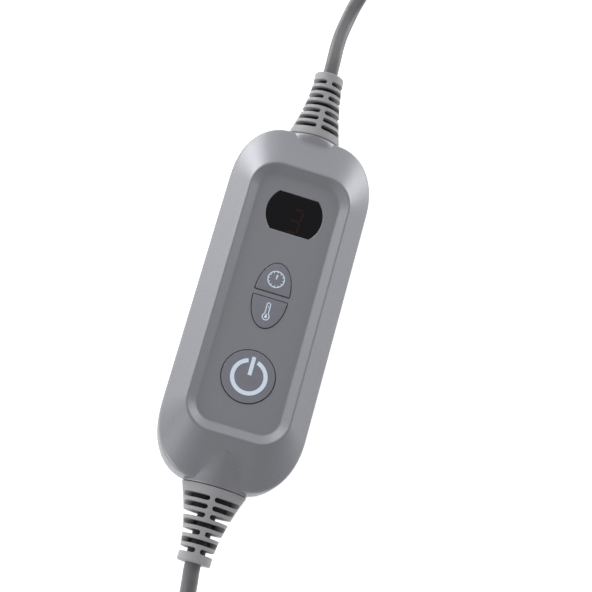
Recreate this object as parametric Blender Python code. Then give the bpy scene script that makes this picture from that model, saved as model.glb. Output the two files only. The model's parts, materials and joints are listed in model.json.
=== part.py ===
"""In-line hand controller of a heated blanket, with its mains lead and its heater lead.

Row frame: +X to the right of the face, +Y towards the display end, +Z out of the face. The origin is
the middle of the underside. Driving sizes come first, in millimetres times MM.
"""

import math

import bpy
import bmesh
from mathutils import Vector

MM = 0.001
SEAT_GAP = 0.3 * MM          # between two pieces that touch
SLIDE_GAP = 0.5 * MM         # round a button in its hole

# Case
CASE_WIDTH = 60.0 * MM
CASE_LENGTH = 153.6 * MM
PARTING_HEIGHT = 13.0 * MM
FACE_HEIGHT = 24.0 * MM
RIDGE_RISE = 2.1 * MM
RIM_HEIGHT = 17.4 * MM
WALL = 2.2 * MM
FLOOR_WALL = 2.5 * MM
SIDE_SLOPE = 8.6 * MM
END_SLOPE = 18.5 * MM
DISH_BEVEL = 4.0 * MM
RIDGE_CORNER = 12.0 * MM
CORNER_ALONG = 27.0 * MM
CORNER_ACROSS = 20.0 * MM
CORNER_POWER = 2.15
BASE_ROUND = 3.5 * MM
RIM_ROUND = 0.9 * MM
CORNER_STEPS = 10

# Cord entries; a pair of values is for the display end, 1, and the other end, -1
NECK_LENGTH = {1: 0.3 * MM, -1: 1.1 * MM}
NECK_HALF_WIDTH = {1: 11.6 * MM, -1: 13.6 * MM}
NECK_HALF_HEIGHT = 7.0 * MM
NECK_POWER = 1.6
NECK_INNER_POWER = {1: 2.3, -1: 1.6}
NECK_RUN = 14.0 * MM
NECK_FLARE = {1: 1.2 * MM, -1: 1.3 * MM}
NECK_FLARE_RUN = 1.1 * MM
NECK_RISE = {1: 0.0, -1: 0.42}
MOUTH_HALF_WIDTH = 9.5 * MM
MOUTH_HALF_HEIGHT = 5.4 * MM

# Strain reliefs
RELIEF_LENGTH = 30.3 * MM
RELIEF_STEP = 0.2 * MM
RELIEF_TIP_HALF_WIDTH = {1: 6.4 * MM, -1: 6.85 * MM}
RELIEF_LEAN = {1: -0.9 * MM, -1: 0.0}
RELIEF_TIP_HALF_HEIGHT = 5.7 * MM
RELIEF_TAPER_POWER = 1.6
RELIEF_FIRST_SLOT = 4.7 * MM
RELIEF_SLOT_PITCH = 3.5 * MM
RELIEF_SLOT = 1.95 * MM
RELIEF_CORE = 4.4 * MM
RELIEF_BRIDGE = 1.15 * MM
RELIEF_SLOT_ROWS = ("front", "front", "front", "side", "front", "side", "front")
RELIEF_COLLAR_ROUND = 0.5 * MM
FLANGE_LENGTH = 1.6 * MM
FLANGE_HALF_WIDTH = 10.0 * MM
FLANGE_HALF_HEIGHT = 5.8 * MM
BORE_DEPTH = 5.0 * MM

# Face
WINDOW_DIAMETER = 24.0 * MM
WINDOW_HEIGHT = 17.2 * MM
WINDOW_FROM_FACE_END = 15.6 * MM
PAIR_SPLIT_Y = 2.4 * MM
PAIR_BAR = 2.05 * MM
PAIR_HALF_WIDTH = 7.5 * MM
PAIR_BUTTON_LENGTH = 13.3 * MM
POWER_HOLE_DIAMETER = 22.3 * MM
POWER_FROM_FACE_END = 21.6 * MM
BUTTON_PROUD = 0.3 * MM
BUTTON_TRAVEL = 0.5 * MM
RETAINING_LIP = 0.8 * MM
LIP_THICKNESS = 1.0 * MM
LENS_RECESS = 0.15 * MM

# Circuit board and what it carries
BOARD_TOP = 14.5 * MM
BOARD_THICKNESS = 1.6 * MM
BOARD_END_SPACE = 22.8 * MM
SWITCH_SIDE = 6.0 * MM
SWITCH_HEIGHT = 3.5 * MM
PLUNGER_DIAMETER = 3.3 * MM
PLUNGER_PROUD = 0.9 * MM
SWITCH_WELL = 2.5 * MM
SWITCH_SHARE = 0.42          # of a button's length, from the bar to its switch
BUTTON_STEM_DIAMETER = 4.0 * MM
DISPLAY_WIDTH = 19.0 * MM
DISPLAY_LENGTH = 13.0 * MM
CHIP_X = -3.0 * MM
CHIP_WIDTH = 7.5 * MM
CHIP_LENGTH = 10.0 * MM
CHIP_HEIGHT = 2.3 * MM
BUZZER_X = 9.5 * MM
BUZZER_DIAMETER = 9.0 * MM
BUZZER_HEIGHT = 4.5 * MM
TERMINAL_FROM_END = 9.0 * MM
TRIAC_Y = -24.0 * MM
TRIAC_HEIGHT = 4.4 * MM
SINK_LENGTH = 24.0 * MM
SINK_HEIGHT = 4.6 * MM
SINK_PLATE = 1.6 * MM
SINK_FIN = 1.2 * MM
SINK_FINS = 6
SINK_PITCH = 4.6 * MM
CORE_DROP = 4.4 * MM         # of the wires' ends below the board

# Parts that hang under the board: x, y, width, length, height, corner
VARISTOR = (-8.0 * MM, 19.0 * MM, 10.0 * MM, 4.2 * MM, 9.0 * MM, 1.6 * MM)
FILTER_CAPACITOR = (4.5 * MM, 31.0 * MM, 8.0 * MM, 18.0 * MM, 9.2 * MM, 0.6 * MM)
TRANSFORMER = (-7.0 * MM, 6.5 * MM, 13.0 * MM, 13.0 * MM, 9.4 * MM, 1.0 * MM)
RECTIFIER = (8.0 * MM, -8.0 * MM, 7.0 * MM, 6.0 * MM, 3.0 * MM, 0.4 * MM)
TRIAC = (0.0, TRIAC_Y, 10.2 * MM, 15.0 * MM, TRIAC_HEIGHT, 0.4 * MM)
TERMINAL_SIZE = (8.0 * MM, 8.4 * MM)
MAINS_TERMINAL_WIDTH = 15.0 * MM
HEATER_TERMINAL_WIDTH = 20.0 * MM
# Cylinders that lie under the board: x, y, diameter, length
FUSE = (-12.0 * MM, 31.0 * MM, 3.8 * MM, 11.0 * MM)
SMOOTHING_CAPACITOR = (9.5 * MM, 6.0 * MM, 8.0 * MM, 14.0 * MM)

# Screws
CASE_SCREW_FROM_SIDE = 8.5 * MM
CASE_SCREW_FROM_END = 30.8 * MM
CASE_SCREW_SHANK = 2.6 * MM
CASE_SCREW_LENGTH = 13.5 * MM
CASE_SCREW_HEAD = 5.0 * MM
SCREW_HEAD_HEIGHT = 1.8 * MM
LOWER_BOSS = 7.2 * MM
UPPER_BOSS = 6.0 * MM
HEAD_RECESS = 4.5 * MM
SMALL_SCREW_SHANK = 2.2 * MM
SMALL_SCREW_HEAD = 4.2 * MM
BOARD_SCREW_LENGTH = 6.0 * MM
CLAMP_SCREW_LENGTH = 6.5 * MM
CASE_PILOT_DEPTH = 6.6 * MM
BOARD_PILOT_DEPTH = 5.0 * MM
CLAMP_PILOT_DEPTH = 5.5 * MM
BOARD_SCREW_X = 13.0 * MM
BOARD_SCREW_FROM_END = 3.6 * MM
BOARD_BOSS = 5.4 * MM
CLAMP_SCREW_CLEARANCE = 0.6 * MM
CLAMP_FROM_END = 10.8 * MM
CLAMP_WIDTH = 6.0 * MM
CLAMP_FOOT_TOP = 12.0 * MM
CLAMP_FOOT = 2.0 * MM
CLAMP_WALL = 1.7 * MM
CLAMP_POST = 5.6 * MM

# Cords
MAINS_CORD_WIDTH = 6.3 * MM
MAINS_CORD_THICKNESS = 3.9 * MM
HEATER_CORD = 6.6 * MM
CORE_WIRE = 1.8 * MM
TAIL_PAST_CLAMP = 3.0 * MM
FOLD_RADIUS = 20.0 * MM
MAINS_HANK_START = 171.8 * MM
MAINS_HANK_RUN = 60.0 * MM
MAINS_HANK_LAYERS = (3, 2)
HEATER_HANK_START = 146.0 * MM
HEATER_HANK_RUN = 33.0 * MM
HEATER_HANK_LAYERS = (2, 2)
TIE_WIDTH = 10.0 * MM
TIE_FROM_RUN_END = 22.0 * MM
TIE_THICKNESS = 1.4 * MM

# Routes chosen by hand, in millimetres: each lead from its strain relief to its hank, and the loop on
# top of a hank, from the end of its near fold to the plug
MAINS_ROUTE = ((-0.85, 103.2, 13.0), (-0.95, 109.5, 13.0), (-1.1, 116.0, 12.4), (-1.2, 123.5, 10.2),
               (-0.8, 132.0, 6.6), (0.3, 141.0, 4.0), (1.9, 150.5, 3.15), (5.0, 160.5, 3.15),
               (10.0, 171.0, 3.15))
HEATER_ROUTE = ((0.0, -103.9, 13.0), (0.0, -109.8, 13.0), (0.7, -115.5, 12.5), (1.5, -121.5, 10.9),
                (2.7, -128.0, 7.9), (4.6, -134.5, 4.9), (7.1, -140.3, 3.5), (9.8, -144.9, 3.3))
END_LOOP = ((-23.6, 8.0, 0.0), (-23.6, 0.0, 0.0), (-19.8, -11.8, 0.0), (-9.8, -19.0, 0.0), (2.6, -19.0, 0.0),
            (12.6, -11.8, 0.0), (16.4, 0.0, 0.1), (14.3, 9.0, 0.35), (8.2, 16.1, 0.7), (2.4, 23.3, 0.95),
            (0.1, 30.0, 1.0), (0.0, 33.5, 1.0))

# Far ends of the leads
PLUG_WIDTH = 35.3 * MM
PLUG_THICKNESS = 13.7 * MM
PLUG_LENGTH = 36.0 * MM
PIN_DIAMETER = 4.0 * MM
PIN_LENGTH = 19.0 * MM
PIN_SPACING = 18.6 * MM
PIN_ROOT = 4.0 * MM
CONNECTOR_WIDTH = 38.0 * MM
CONNECTOR_THICKNESS = 13.0 * MM
CONNECTOR_LENGTH = 28.0 * MM
CONTACT_HOLE = 3.2 * MM
CONTACT_DEPTH = 10.0 * MM
CONTACT_PITCH = 8.0 * MM
TAIL_RELIEF_LENGTH = 16.0 * MM

# Worked out from the sizes above
HALF_WIDTH = CASE_WIDTH / 2
HALF_LENGTH = CASE_LENGTH / 2
RIDGE_HALF_WIDTH = HALF_WIDTH - SIDE_SLOPE
RIDGE_HALF_LENGTH = HALF_LENGTH - END_SLOPE
FACE_HALF_LENGTH = RIDGE_HALF_LENGTH - DISH_BEVEL
RIDGE_HEIGHT = FACE_HEIGHT + RIDGE_RISE
FACE_UNDERSIDE = FACE_HEIGHT - WALL
WINDOW_Y = FACE_HALF_LENGTH - WINDOW_FROM_FACE_END
POWER_Y = POWER_FROM_FACE_END - FACE_HALF_LENGTH
BOARD_UNDERSIDE = BOARD_TOP - BOARD_THICKNESS
BOARD_HALF_LENGTH = HALF_LENGTH - BOARD_END_SPACE
CASE_SCREW_X = HALF_WIDTH - CASE_SCREW_FROM_SIDE
CASE_SCREW_Y = HALF_LENGTH - CASE_SCREW_FROM_END
BOARD_HALF_WIDTH = CASE_SCREW_X - LOWER_BOSS / 2 - 0.9 * MM
BOARD_SCREW_Y = BOARD_HALF_LENGTH - BOARD_SCREW_FROM_END
NECK_END = {end: HALF_LENGTH + NECK_LENGTH[end] for end in (1, -1)}
RELIEF_START = {end: NECK_END[end] + SEAT_GAP for end in (1, -1)}
FLANGE_END = {end: NECK_END[end] - WALL - SEAT_GAP for end in (1, -1)}
FLANGE_START = {end: FLANGE_END[end] - FLANGE_LENGTH for end in (1, -1)}
CLAMP_SPREAD = (max(HEATER_CORD, MAINS_CORD_WIDTH) / 2 + SEAT_GAP + CLAMP_WALL + SMALL_SCREW_HEAD / 2
                + CLAMP_SCREW_CLEARANCE)
CLAMP_Y = HALF_LENGTH - CLAMP_FROM_END
UNDER_BOARD = BOARD_UNDERSIDE - SEAT_GAP
ON_BOARD = BOARD_TOP + SEAT_GAP
PLUNGER_TOP = ON_BOARD + SWITCH_HEIGHT + PLUNGER_PROUD
LIP_TOP = FACE_UNDERSIDE - SEAT_GAP
BOSS_END = BOARD_TOP + SEAT_GAP

SHELL_GREY = ("metallic_grey_paint", (0.235, 0.235, 0.255), 0.38, 0.35)
BUTTON_GREY = ("button_grey", (0.16, 0.16, 0.185), 0.45, 0.1)
LENS_BLACK = ("smoked_lens", (0.008, 0.008, 0.01), 0.08, 0.0)
RUBBER_GREY = ("relief_pvc", (0.24, 0.235, 0.245), 0.6, 0.0)
CORD_GREY = ("cord_pvc", (0.25, 0.25, 0.26), 0.5, 0.0)
BOARD_GREEN = ("board_green", (0.02, 0.16, 0.07), 0.5, 0.0)
PART_BLACK = ("component_black", (0.02, 0.02, 0.022), 0.5, 0.0)
TERMINAL_GREEN = ("terminal_green", (0.03, 0.3, 0.12), 0.5, 0.0)
ALUMINIUM = ("aluminium", (0.75, 0.76, 0.78), 0.35, 1.0)
STEEL = ("zinc_steel", (0.6, 0.6, 0.6), 0.35, 1.0)
BRASS = ("brass", (0.75, 0.6, 0.3), 0.3, 1.0)
WIRE_BROWN = ("core_brown", (0.2, 0.08, 0.03), 0.5, 0.0)
WIRE_BLUE = ("core_blue", (0.03, 0.12, 0.5), 0.5, 0.0)
WIRE_WHITE = ("core_white", (0.8, 0.8, 0.8), 0.5, 0.0)
CAPACITOR_YELLOW = ("capacitor_yellow", (0.7, 0.5, 0.05), 0.5, 0.0)
VARISTOR_BLUE = ("varistor_blue", (0.05, 0.15, 0.45), 0.5, 0.0)
TIE_BLACK = ("tie_black", (0.03, 0.03, 0.035), 0.7, 0.0)


def finish(spec):
    """Return the material of a (name, colour, roughness, metallic) tuple, made once."""
    name, colour, roughness, metallic = spec
    material = bpy.data.materials.get(name)
    if material is None:
        material = bpy.data.materials.new(name)
        material.use_nodes = True
        shader = material.node_tree.nodes["Principled BSDF"]
        shader.inputs["Base Color"].default_value = (*colour, 1.0)
        shader.inputs["Roughness"].default_value = roughness
        shader.inputs["Metallic"].default_value = metallic
        material.diffuse_color = (*colour, 1.0)
    return material


def mesh_object(name, bm, spec, cutter=False):
    """Close a bmesh into a named object; a cutter is hidden from the model."""
    bmesh.ops.recalc_face_normals(bm, faces=bm.faces)
    mesh = bpy.data.meshes.new(name)
    bm.to_mesh(mesh)
    bm.free()
    mesh.shade_smooth()
    mesh.set_sharp_from_angle(angle=math.radians(32))
    obj = bpy.data.objects.new(name, mesh)
    bpy.context.scene.collection.objects.link(obj)
    if cutter:
        obj.hide_render = True
        obj.display_type = "WIRE"
    else:
        mesh.materials.append(finish(spec))
    return obj


def add_loft(bm, rings):
    """Join rings of equal count into one capped body."""
    rows = [[bm.verts.new(point) for point in ring] for ring in rings]
    count = len(rows[0])
    for lower, upper in zip(rows, rows[1:]):
        for i in range(count):
            j = (i + 1) % count
            bm.faces.new((lower[i], lower[j], upper[j], upper[i]))
    bm.faces.new(reversed(rows[0]))
    bm.faces.new(rows[-1])


def loft(name, rings, spec, cutter=False):
    """Make one object from a stack of rings."""
    bm = bmesh.new()
    add_loft(bm, rings)
    return mesh_object(name, bm, spec, cutter)


def group(name, stacks, spec=None):
    """Make a hidden operand from several separate ring stacks."""
    bm = bmesh.new()
    for rings in stacks:
        add_loft(bm, rings)
    return mesh_object(name, bm, spec, cutter=True)


def combine(obj, other, operation):
    """Cut or join another object with an exact Boolean."""
    modifier = obj.modifiers.new(f"{operation.lower()}_{other.name}"[:60], "BOOLEAN")
    modifier.operation = operation
    modifier.object = other
    modifier.solver = "EXACT"


def case_ring(half_width, half_length, across, along, power, z):
    """Ring of a rectangle whose corners are superellipses."""
    points = []
    for turn, (sx, sy) in enumerate(((1, 1), (-1, 1), (-1, -1), (1, -1))):
        for step in range(CORNER_STEPS + 1):
            share = step / CORNER_STEPS
            angle = math.radians(90 * (share if turn % 2 == 0 else 1 - share))
            x = half_width - across + across * math.cos(angle) ** (2 / power)
            y = half_length - along + along * math.sin(angle) ** (2 / power)
            points.append((sx * x, sy * y, z))
    return points


def outer_ring(inset, z):
    """Ring of the case's side wall, moved in by inset."""
    return case_ring(HALF_WIDTH - inset, HALF_LENGTH - inset, CORNER_ACROSS - inset,
                     CORNER_ALONG - inset, CORNER_POWER, z)


def panel_ring(inset, z):
    """Ring on the face, moved in from the ridge by inset."""
    radius = RIDGE_CORNER - inset
    return case_ring(RIDGE_HALF_WIDTH - inset, RIDGE_HALF_LENGTH - inset, radius, radius, 2.0, z)


def disc(x, y, z, diameter, sides=16):
    """Circle of points in a level plane."""
    radius = diameter / 2
    angles = [2 * math.pi * i / sides for i in range(sides)]
    return [(x + radius * math.cos(a), y + radius * math.sin(a), z) for a in angles]


def post(x, y, z_low, z_high, diameter, sides=16):
    """Ring stack of an upright cylinder."""
    return [disc(x, y, z_low, diameter, sides), disc(x, y, z_high, diameter, sides)]


def block(x, y, z_low, z_high, width, length, round_off=0.0):
    """Ring stack of an upright box, its corners cut by round_off."""
    w, l, c = width / 2, length / 2, round_off
    outline = [(w, -l), (w, l), (-w, l), (-w, -l)]
    if c:
        outline = [(w, -l + c), (w, l - c), (w - c, l), (-w + c, l),
                   (-w, l - c), (-w, -l + c), (-w + c, -l), (w - c, -l)]
    return [[(x + px, y + py, z) for px, py in outline] for z in (z_low, z_high)]


def section(y, half_width, half_height, power, sides=24, centre_z=PARTING_HEIGHT):
    """Upright superellipse ring about the cord's axis."""
    ring = []
    for i in range(sides):
        angle = 2 * math.pi * i / sides
        c, s = math.cos(angle), math.sin(angle)
        ring.append((half_width * math.copysign(abs(c) ** (2 / power), c), y,
                     centre_z + half_height * math.copysign(abs(s) ** (2 / power), s)))
    return ring


def half_section(y, half_width, half_height, power, upper, steps=14):
    """Upper or lower half of a superellipse section, closed along the parting line."""
    side = 1 if upper else -1
    base = PARTING_HEIGHT + side * SEAT_GAP / 2
    ring = []
    for i in range(steps + 1):
        angle = math.pi * i / steps
        c, s = math.cos(angle), math.sin(angle)
        height = max(half_height * max(s, 0.0) ** (2 / power) - SEAT_GAP / 2, 0.0)
        ring.append((half_width * math.copysign(abs(c) ** (2 / power), c), y, base + side * height))
    return ring


def neck_half(end, upper):
    """Ring stack of the half arch that carries a cord entry; it flares out towards its end."""
    run = NECK_RUN if upper else FLANGE_LENGTH + WALL
    rings = []
    for share in (0.0, 0.05, 0.12, 0.25, 0.6, 1.0):
        inner = 1 - math.exp(-run * share / NECK_FLARE_RUN)
        rings.append(half_section(end * (NECK_END[end] - run * share),
                                  NECK_HALF_WIDTH[end] - NECK_FLARE[end] * inner,
                                  NECK_HALF_HEIGHT * (1 + NECK_RISE[end] * share * upper),
                                  NECK_POWER + (NECK_INNER_POWER[end] - NECK_POWER) * inner, upper))
    return rings


def mouth_stacks(end):
    """Ring stacks of the opening that grips a strain relief: the mouth and the flange pocket behind it."""
    pocket_end = NECK_END[end] - WALL
    pocket = [section(end * y, FLANGE_HALF_WIDTH + SEAT_GAP, FLANGE_HALF_HEIGHT + SEAT_GAP, 2.0)
              for y in (pocket_end - NECK_RUN, pocket_end)]
    mouth = [section(end * y, MOUTH_HALF_WIDTH, MOUTH_HALF_HEIGHT, 2.0)
             for y in (pocket_end - FLANGE_LENGTH, NECK_END[end] + WALL)]
    return pocket, mouth


def half_ellipse(split_y, towards, half_width, length, z, steps=16):
    """Half of an ellipse standing on a straight edge at split_y."""
    angles = [math.pi * i / steps for i in range(steps + 1)]
    return [(half_width * math.cos(a), split_y + towards * length * math.sin(a), z) for a in angles]


def pair_ring(towards, grow, z):
    """Outline of the timer or temperature button's hole, grown outwards by grow."""
    edge = PAIR_SPLIT_Y + towards * (PAIR_BAR / 2 - grow)
    return half_ellipse(edge, towards, PAIR_HALF_WIDTH + grow, PAIR_BUTTON_LENGTH + 2 * grow, z)


def window_ring(grow, z, steps=8):
    """Circle cut by two flats: the outline of the display window."""
    radius = WINDOW_DIAMETER / 2 + grow
    flat = WINDOW_HEIGHT / 2 + grow
    limit = math.asin(flat / radius)
    angles = [-limit + 2 * limit * i / steps for i in range(steps + 1)]
    right = [(radius * math.cos(a), WINDOW_Y + radius * math.sin(a), z) for a in angles]
    left = [(-radius * math.cos(a), WINDOW_Y - radius * math.sin(a), z) for a in angles]
    return right + left


CASE_SCREWS = [(sx * CASE_SCREW_X, sy * CASE_SCREW_Y) for sx in (1, -1) for sy in (1, -1)]
BOARD_SCREWS = [(BOARD_SCREW_X, BOARD_SCREW_Y), (-BOARD_SCREW_X, -BOARD_SCREW_Y)]


def make_upper_shell():
    """Upper half: sloped sides, dished face, cord necks, bosses and the openings of the face."""
    bottom = PARTING_HEIGHT + SEAT_GAP / 2
    slope_drop = RIDGE_HEIGHT - RIM_HEIGHT
    ceiling_side = SIDE_SLOPE * (FACE_UNDERSIDE - RIM_HEIGHT) / slope_drop
    ceiling_end = END_SLOPE * (FACE_UNDERSIDE - RIM_HEIGHT) / slope_drop
    side_wall = WALL * math.hypot(SIDE_SLOPE, slope_drop) / slope_drop
    end_wall = WALL * math.hypot(END_SLOPE, slope_drop) / slope_drop
    ceiling = case_ring(HALF_WIDTH - ceiling_side - side_wall, HALF_LENGTH - ceiling_end - end_wall,
                        RIDGE_CORNER + WALL, RIDGE_CORNER + WALL, 2.0, FACE_UNDERSIDE)
    rings = [
        ceiling,
        outer_ring(WALL, RIM_HEIGHT - 0.7 * WALL),
        outer_ring(WALL, bottom),
        outer_ring(0.0, bottom),
        outer_ring(0.0, RIM_HEIGHT - RIM_ROUND),
        outer_ring(0.25 * RIM_ROUND, RIM_HEIGHT - 0.2 * RIM_ROUND),
        case_ring(HALF_WIDTH - RIM_ROUND, HALF_LENGTH - 1.6 * RIM_ROUND, CORNER_ACROSS - RIM_ROUND,
                  CORNER_ALONG - 1.6 * RIM_ROUND, CORNER_POWER, RIM_HEIGHT + 0.6 * RIM_ROUND),
        panel_ring(-0.5 * MM, RIDGE_HEIGHT - 0.35 * MM),
        panel_ring(0.3 * MM, RIDGE_HEIGHT),
        panel_ring(DISH_BEVEL, FACE_HEIGHT),
    ]
    shell = loft("upper_shell", rings, SHELL_GREY)
    for end, word in ((1, "display_end"), (-1, "power_end")):
        neck = loft(f"upper_neck_{word}", neck_half(end, True), SHELL_GREY, cutter=True)
        combine(shell, neck, "UNION")
    bosses = [post(x, y, bottom, FACE_UNDERSIDE + 0.4 * MM, UPPER_BOSS) for x, y in CASE_SCREWS]
    bosses += [post(x, y, BOSS_END, FACE_UNDERSIDE + 0.6 * MM, BOARD_BOSS) for x, y in BOARD_SCREWS]
    combine(shell, group("upper_bosses", bosses), "UNION")
    pilot = CASE_SCREW_SHANK + 2 * SEAT_GAP
    small_pilot = SMALL_SCREW_SHANK + 2 * SEAT_GAP
    top = FACE_HEIGHT + WALL
    under = FACE_UNDERSIDE - WALL
    cuts = [post(x, y, bottom - WALL, bottom + CASE_PILOT_DEPTH, pilot, 12) for x, y in CASE_SCREWS]
    cuts += [post(x, y, BOSS_END - WALL, BOSS_END + BOARD_PILOT_DEPTH, small_pilot, 12)
             for x, y in BOARD_SCREWS]
    cuts.append([window_ring(0.0, z) for z in (under, top)])
    cuts += [[pair_ring(towards, 0.0, z) for z in (under, top)] for towards in (1, -1)]
    cuts.append(post(0.0, POWER_Y, under, top, POWER_HOLE_DIAMETER, 40))
    combine(shell, group("upper_openings", cuts), "DIFFERENCE")
    pockets, mouths = zip(mouth_stacks(1), mouth_stacks(-1))
    combine(shell, group("upper_flange_pockets", pockets), "DIFFERENCE")
    combine(shell, group("upper_mouths", mouths), "DIFFERENCE")


def make_lower_shell():
    """Lower half: tray with a rounded base, screw bosses, clamp posts and the lower halves of the mouths."""
    top = PARTING_HEIGHT - SEAT_GAP / 2
    rings = [
        outer_ring(WALL + BASE_ROUND - WALL / 2, FLOOR_WALL),
        outer_ring(WALL, FLOOR_WALL + BASE_ROUND - WALL / 2),
        outer_ring(WALL, top),
        outer_ring(0.0, top),
        outer_ring(0.25 * MM, BASE_ROUND),
        outer_ring(0.25 * MM + 0.29 * BASE_ROUND, 0.29 * BASE_ROUND),
        outer_ring(0.25 * MM + BASE_ROUND, 0.0),
    ]
    shell = loft("lower_shell", rings, SHELL_GREY)
    for end, word in ((1, "display_end"), (-1, "power_end")):
        neck = loft(f"lower_neck_{word}", neck_half(end, False), SHELL_GREY, cutter=True)
        combine(shell, neck, "UNION")
    inside = FLOOR_WALL / 2
    clamp_post_top = CLAMP_FOOT_TOP - CLAMP_FOOT - SEAT_GAP
    stacks = [post(x, y, inside, top, LOWER_BOSS) for x, y in CASE_SCREWS]
    clamps = [(sx * CLAMP_SPREAD, sy * CLAMP_Y) for sx in (1, -1) for sy in (1, -1)]
    stacks += [post(x, y, inside, clamp_post_top, CLAMP_POST, 12) for x, y in clamps]
    combine(shell, group("lower_bosses", stacks), "UNION")
    cuts = [post(x, y, HEAD_RECESS - WALL / 2, top + WALL, CASE_SCREW_SHANK + 2 * SEAT_GAP, 12)
            for x, y in CASE_SCREWS]
    cuts += [post(x, y, clamp_post_top - CLAMP_PILOT_DEPTH, top, SMALL_SCREW_SHANK + 2 * SEAT_GAP, 10)
             for x, y in clamps]
    combine(shell, group("lower_pilots", cuts), "DIFFERENCE")
    recesses = [post(x, y, -WALL, HEAD_RECESS, CASE_SCREW_HEAD + 2 * SEAT_GAP) for x, y in CASE_SCREWS]
    combine(shell, group("lower_recesses", recesses), "DIFFERENCE")
    pockets, mouths = zip(mouth_stacks(1), mouth_stacks(-1))
    combine(shell, group("lower_flange_pockets", pockets), "DIFFERENCE")
    combine(shell, group("lower_mouths", mouths), "DIFFERENCE")


def screw(name, x, y, seat, up, length, shank, head):
    """Pan-head screw whose head bears at seat and whose shank points up or down from it."""
    way = 1 if up else -1
    rings = [
        disc(x, y, seat - way * SCREW_HEAD_HEIGHT, head * 0.7, 12),
        disc(x, y, seat - way * SCREW_HEAD_HEIGHT * 0.6, head, 12),
        disc(x, y, seat, head, 12),
        disc(x, y, seat, shank, 12),
        disc(x, y, seat + way * (length - shank / 2), shank, 12),
        disc(x, y, seat + way * length, shank * 0.3, 12),
    ]
    loft(name, rings, STEEL)


def make_screws():
    """Case screws from below, board screws into the upper shell, clamp screws into the posts."""
    names = ("display_right", "power_right", "display_left", "power_left")
    for (x, y), word in zip(CASE_SCREWS, names):
        screw(f"case_screw_{word}", x, y, HEAD_RECESS - SEAT_GAP, True, CASE_SCREW_LENGTH,
              CASE_SCREW_SHANK, CASE_SCREW_HEAD)
    for (x, y), word in zip(BOARD_SCREWS, ("display_end", "power_end")):
        screw(f"board_screw_{word}", x, y, BOARD_UNDERSIDE - SEAT_GAP, True, BOARD_SCREW_LENGTH,
              SMALL_SCREW_SHANK, SMALL_SCREW_HEAD)
    for sy, cord in ((1, "mains"), (-1, "heater")):
        for sx, word in ((1, "right"), (-1, "left")):
            screw(f"{cord}_clamp_screw_{word}", sx * CLAMP_SPREAD, sy * CLAMP_Y, CLAMP_FOOT_TOP + SEAT_GAP,
                  False, CLAMP_SCREW_LENGTH, SMALL_SCREW_SHANK, SMALL_SCREW_HEAD)


def make_window():
    """Smoked lens: the part that fills the opening and the lip that holds it from behind."""
    lip_bottom = LIP_TOP - RETAINING_LIP
    fit = -SEAT_GAP
    loft("display_window", [
        window_ring(RETAINING_LIP, lip_bottom),
        window_ring(RETAINING_LIP, LIP_TOP),
        window_ring(fit, LIP_TOP),
        window_ring(fit, FACE_HEIGHT - LENS_RECESS),
    ], LENS_BLACK)


def make_button(name, ring, switch_y):
    """Button cap with a retaining lip under the face and a stem over its switch."""
    sides = len(ring(0.0, 0.0))
    loft(name, [
        disc(0.0, switch_y, PLUNGER_TOP + SEAT_GAP, BUTTON_STEM_DIAMETER, sides),
        disc(0.0, switch_y, LIP_TOP - LIP_THICKNESS, BUTTON_STEM_DIAMETER, sides),
        ring(RETAINING_LIP, LIP_TOP - LIP_THICKNESS),
        ring(RETAINING_LIP, LIP_TOP),
        ring(-SLIDE_GAP, LIP_TOP),
        ring(-SLIDE_GAP, FACE_HEIGHT + 0.4 * BUTTON_PROUD),
        ring(-SLIDE_GAP - BUTTON_PROUD, FACE_HEIGHT + BUTTON_PROUD),
    ], BUTTON_GREY)


def make_switch(word, y):
    """Tact switch: a body with a well, and the plunger that stands in it."""
    top = ON_BOARD + SWITCH_HEIGHT
    well = top - SWITCH_WELL
    body = loft(f"{word}_switch_body",
                block(0.0, y, ON_BOARD, top, SWITCH_SIDE, SWITCH_SIDE, SWITCH_SIDE / 10), PART_BLACK)
    hole = loft(f"{word}_switch_well", post(0.0, y, well, top + SWITCH_WELL, PLUNGER_DIAMETER + 2 * SEAT_GAP),
                PART_BLACK, cutter=True)
    combine(body, hole, "DIFFERENCE")
    loft(f"{word}_switch_plunger",
         post(0.0, y, well + SEAT_GAP + BUTTON_TRAVEL, PLUNGER_TOP, PLUNGER_DIAMETER), BUTTON_GREY)


def make_face_controls():
    """The three buttons over their switches, and the display behind the window."""
    sides = 40
    switch_offset = PAIR_BUTTON_LENGTH * SWITCH_SHARE

    def power_ring(grow, z):
        return disc(0.0, POWER_Y, z, POWER_HOLE_DIAMETER + 2 * grow, sides)

    places = {
        "timer": (lambda grow, z: pair_ring(1, grow, z), PAIR_SPLIT_Y + PAIR_BAR / 2 + switch_offset),
        "temperature": (lambda grow, z: pair_ring(-1, grow, z), PAIR_SPLIT_Y - PAIR_BAR / 2 - switch_offset),
        "power": (power_ring, POWER_Y),
    }
    for word, (ring, switch_y) in places.items():
        make_button(f"{word}_button", ring, switch_y)
        make_switch(word, switch_y)
    display_top = LIP_TOP - RETAINING_LIP - SEAT_GAP
    loft("display_module",
         block(0.0, WINDOW_Y, ON_BOARD, display_top, DISPLAY_WIDTH, DISPLAY_LENGTH), PART_BLACK)


def hanging(name, x, y, width, length, height, round_off, spec):
    """Component under the board, its body hanging down by height."""
    loft(name, block(x, y, UNDER_BOARD - height, UNDER_BOARD, width, length, round_off), spec)


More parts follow.
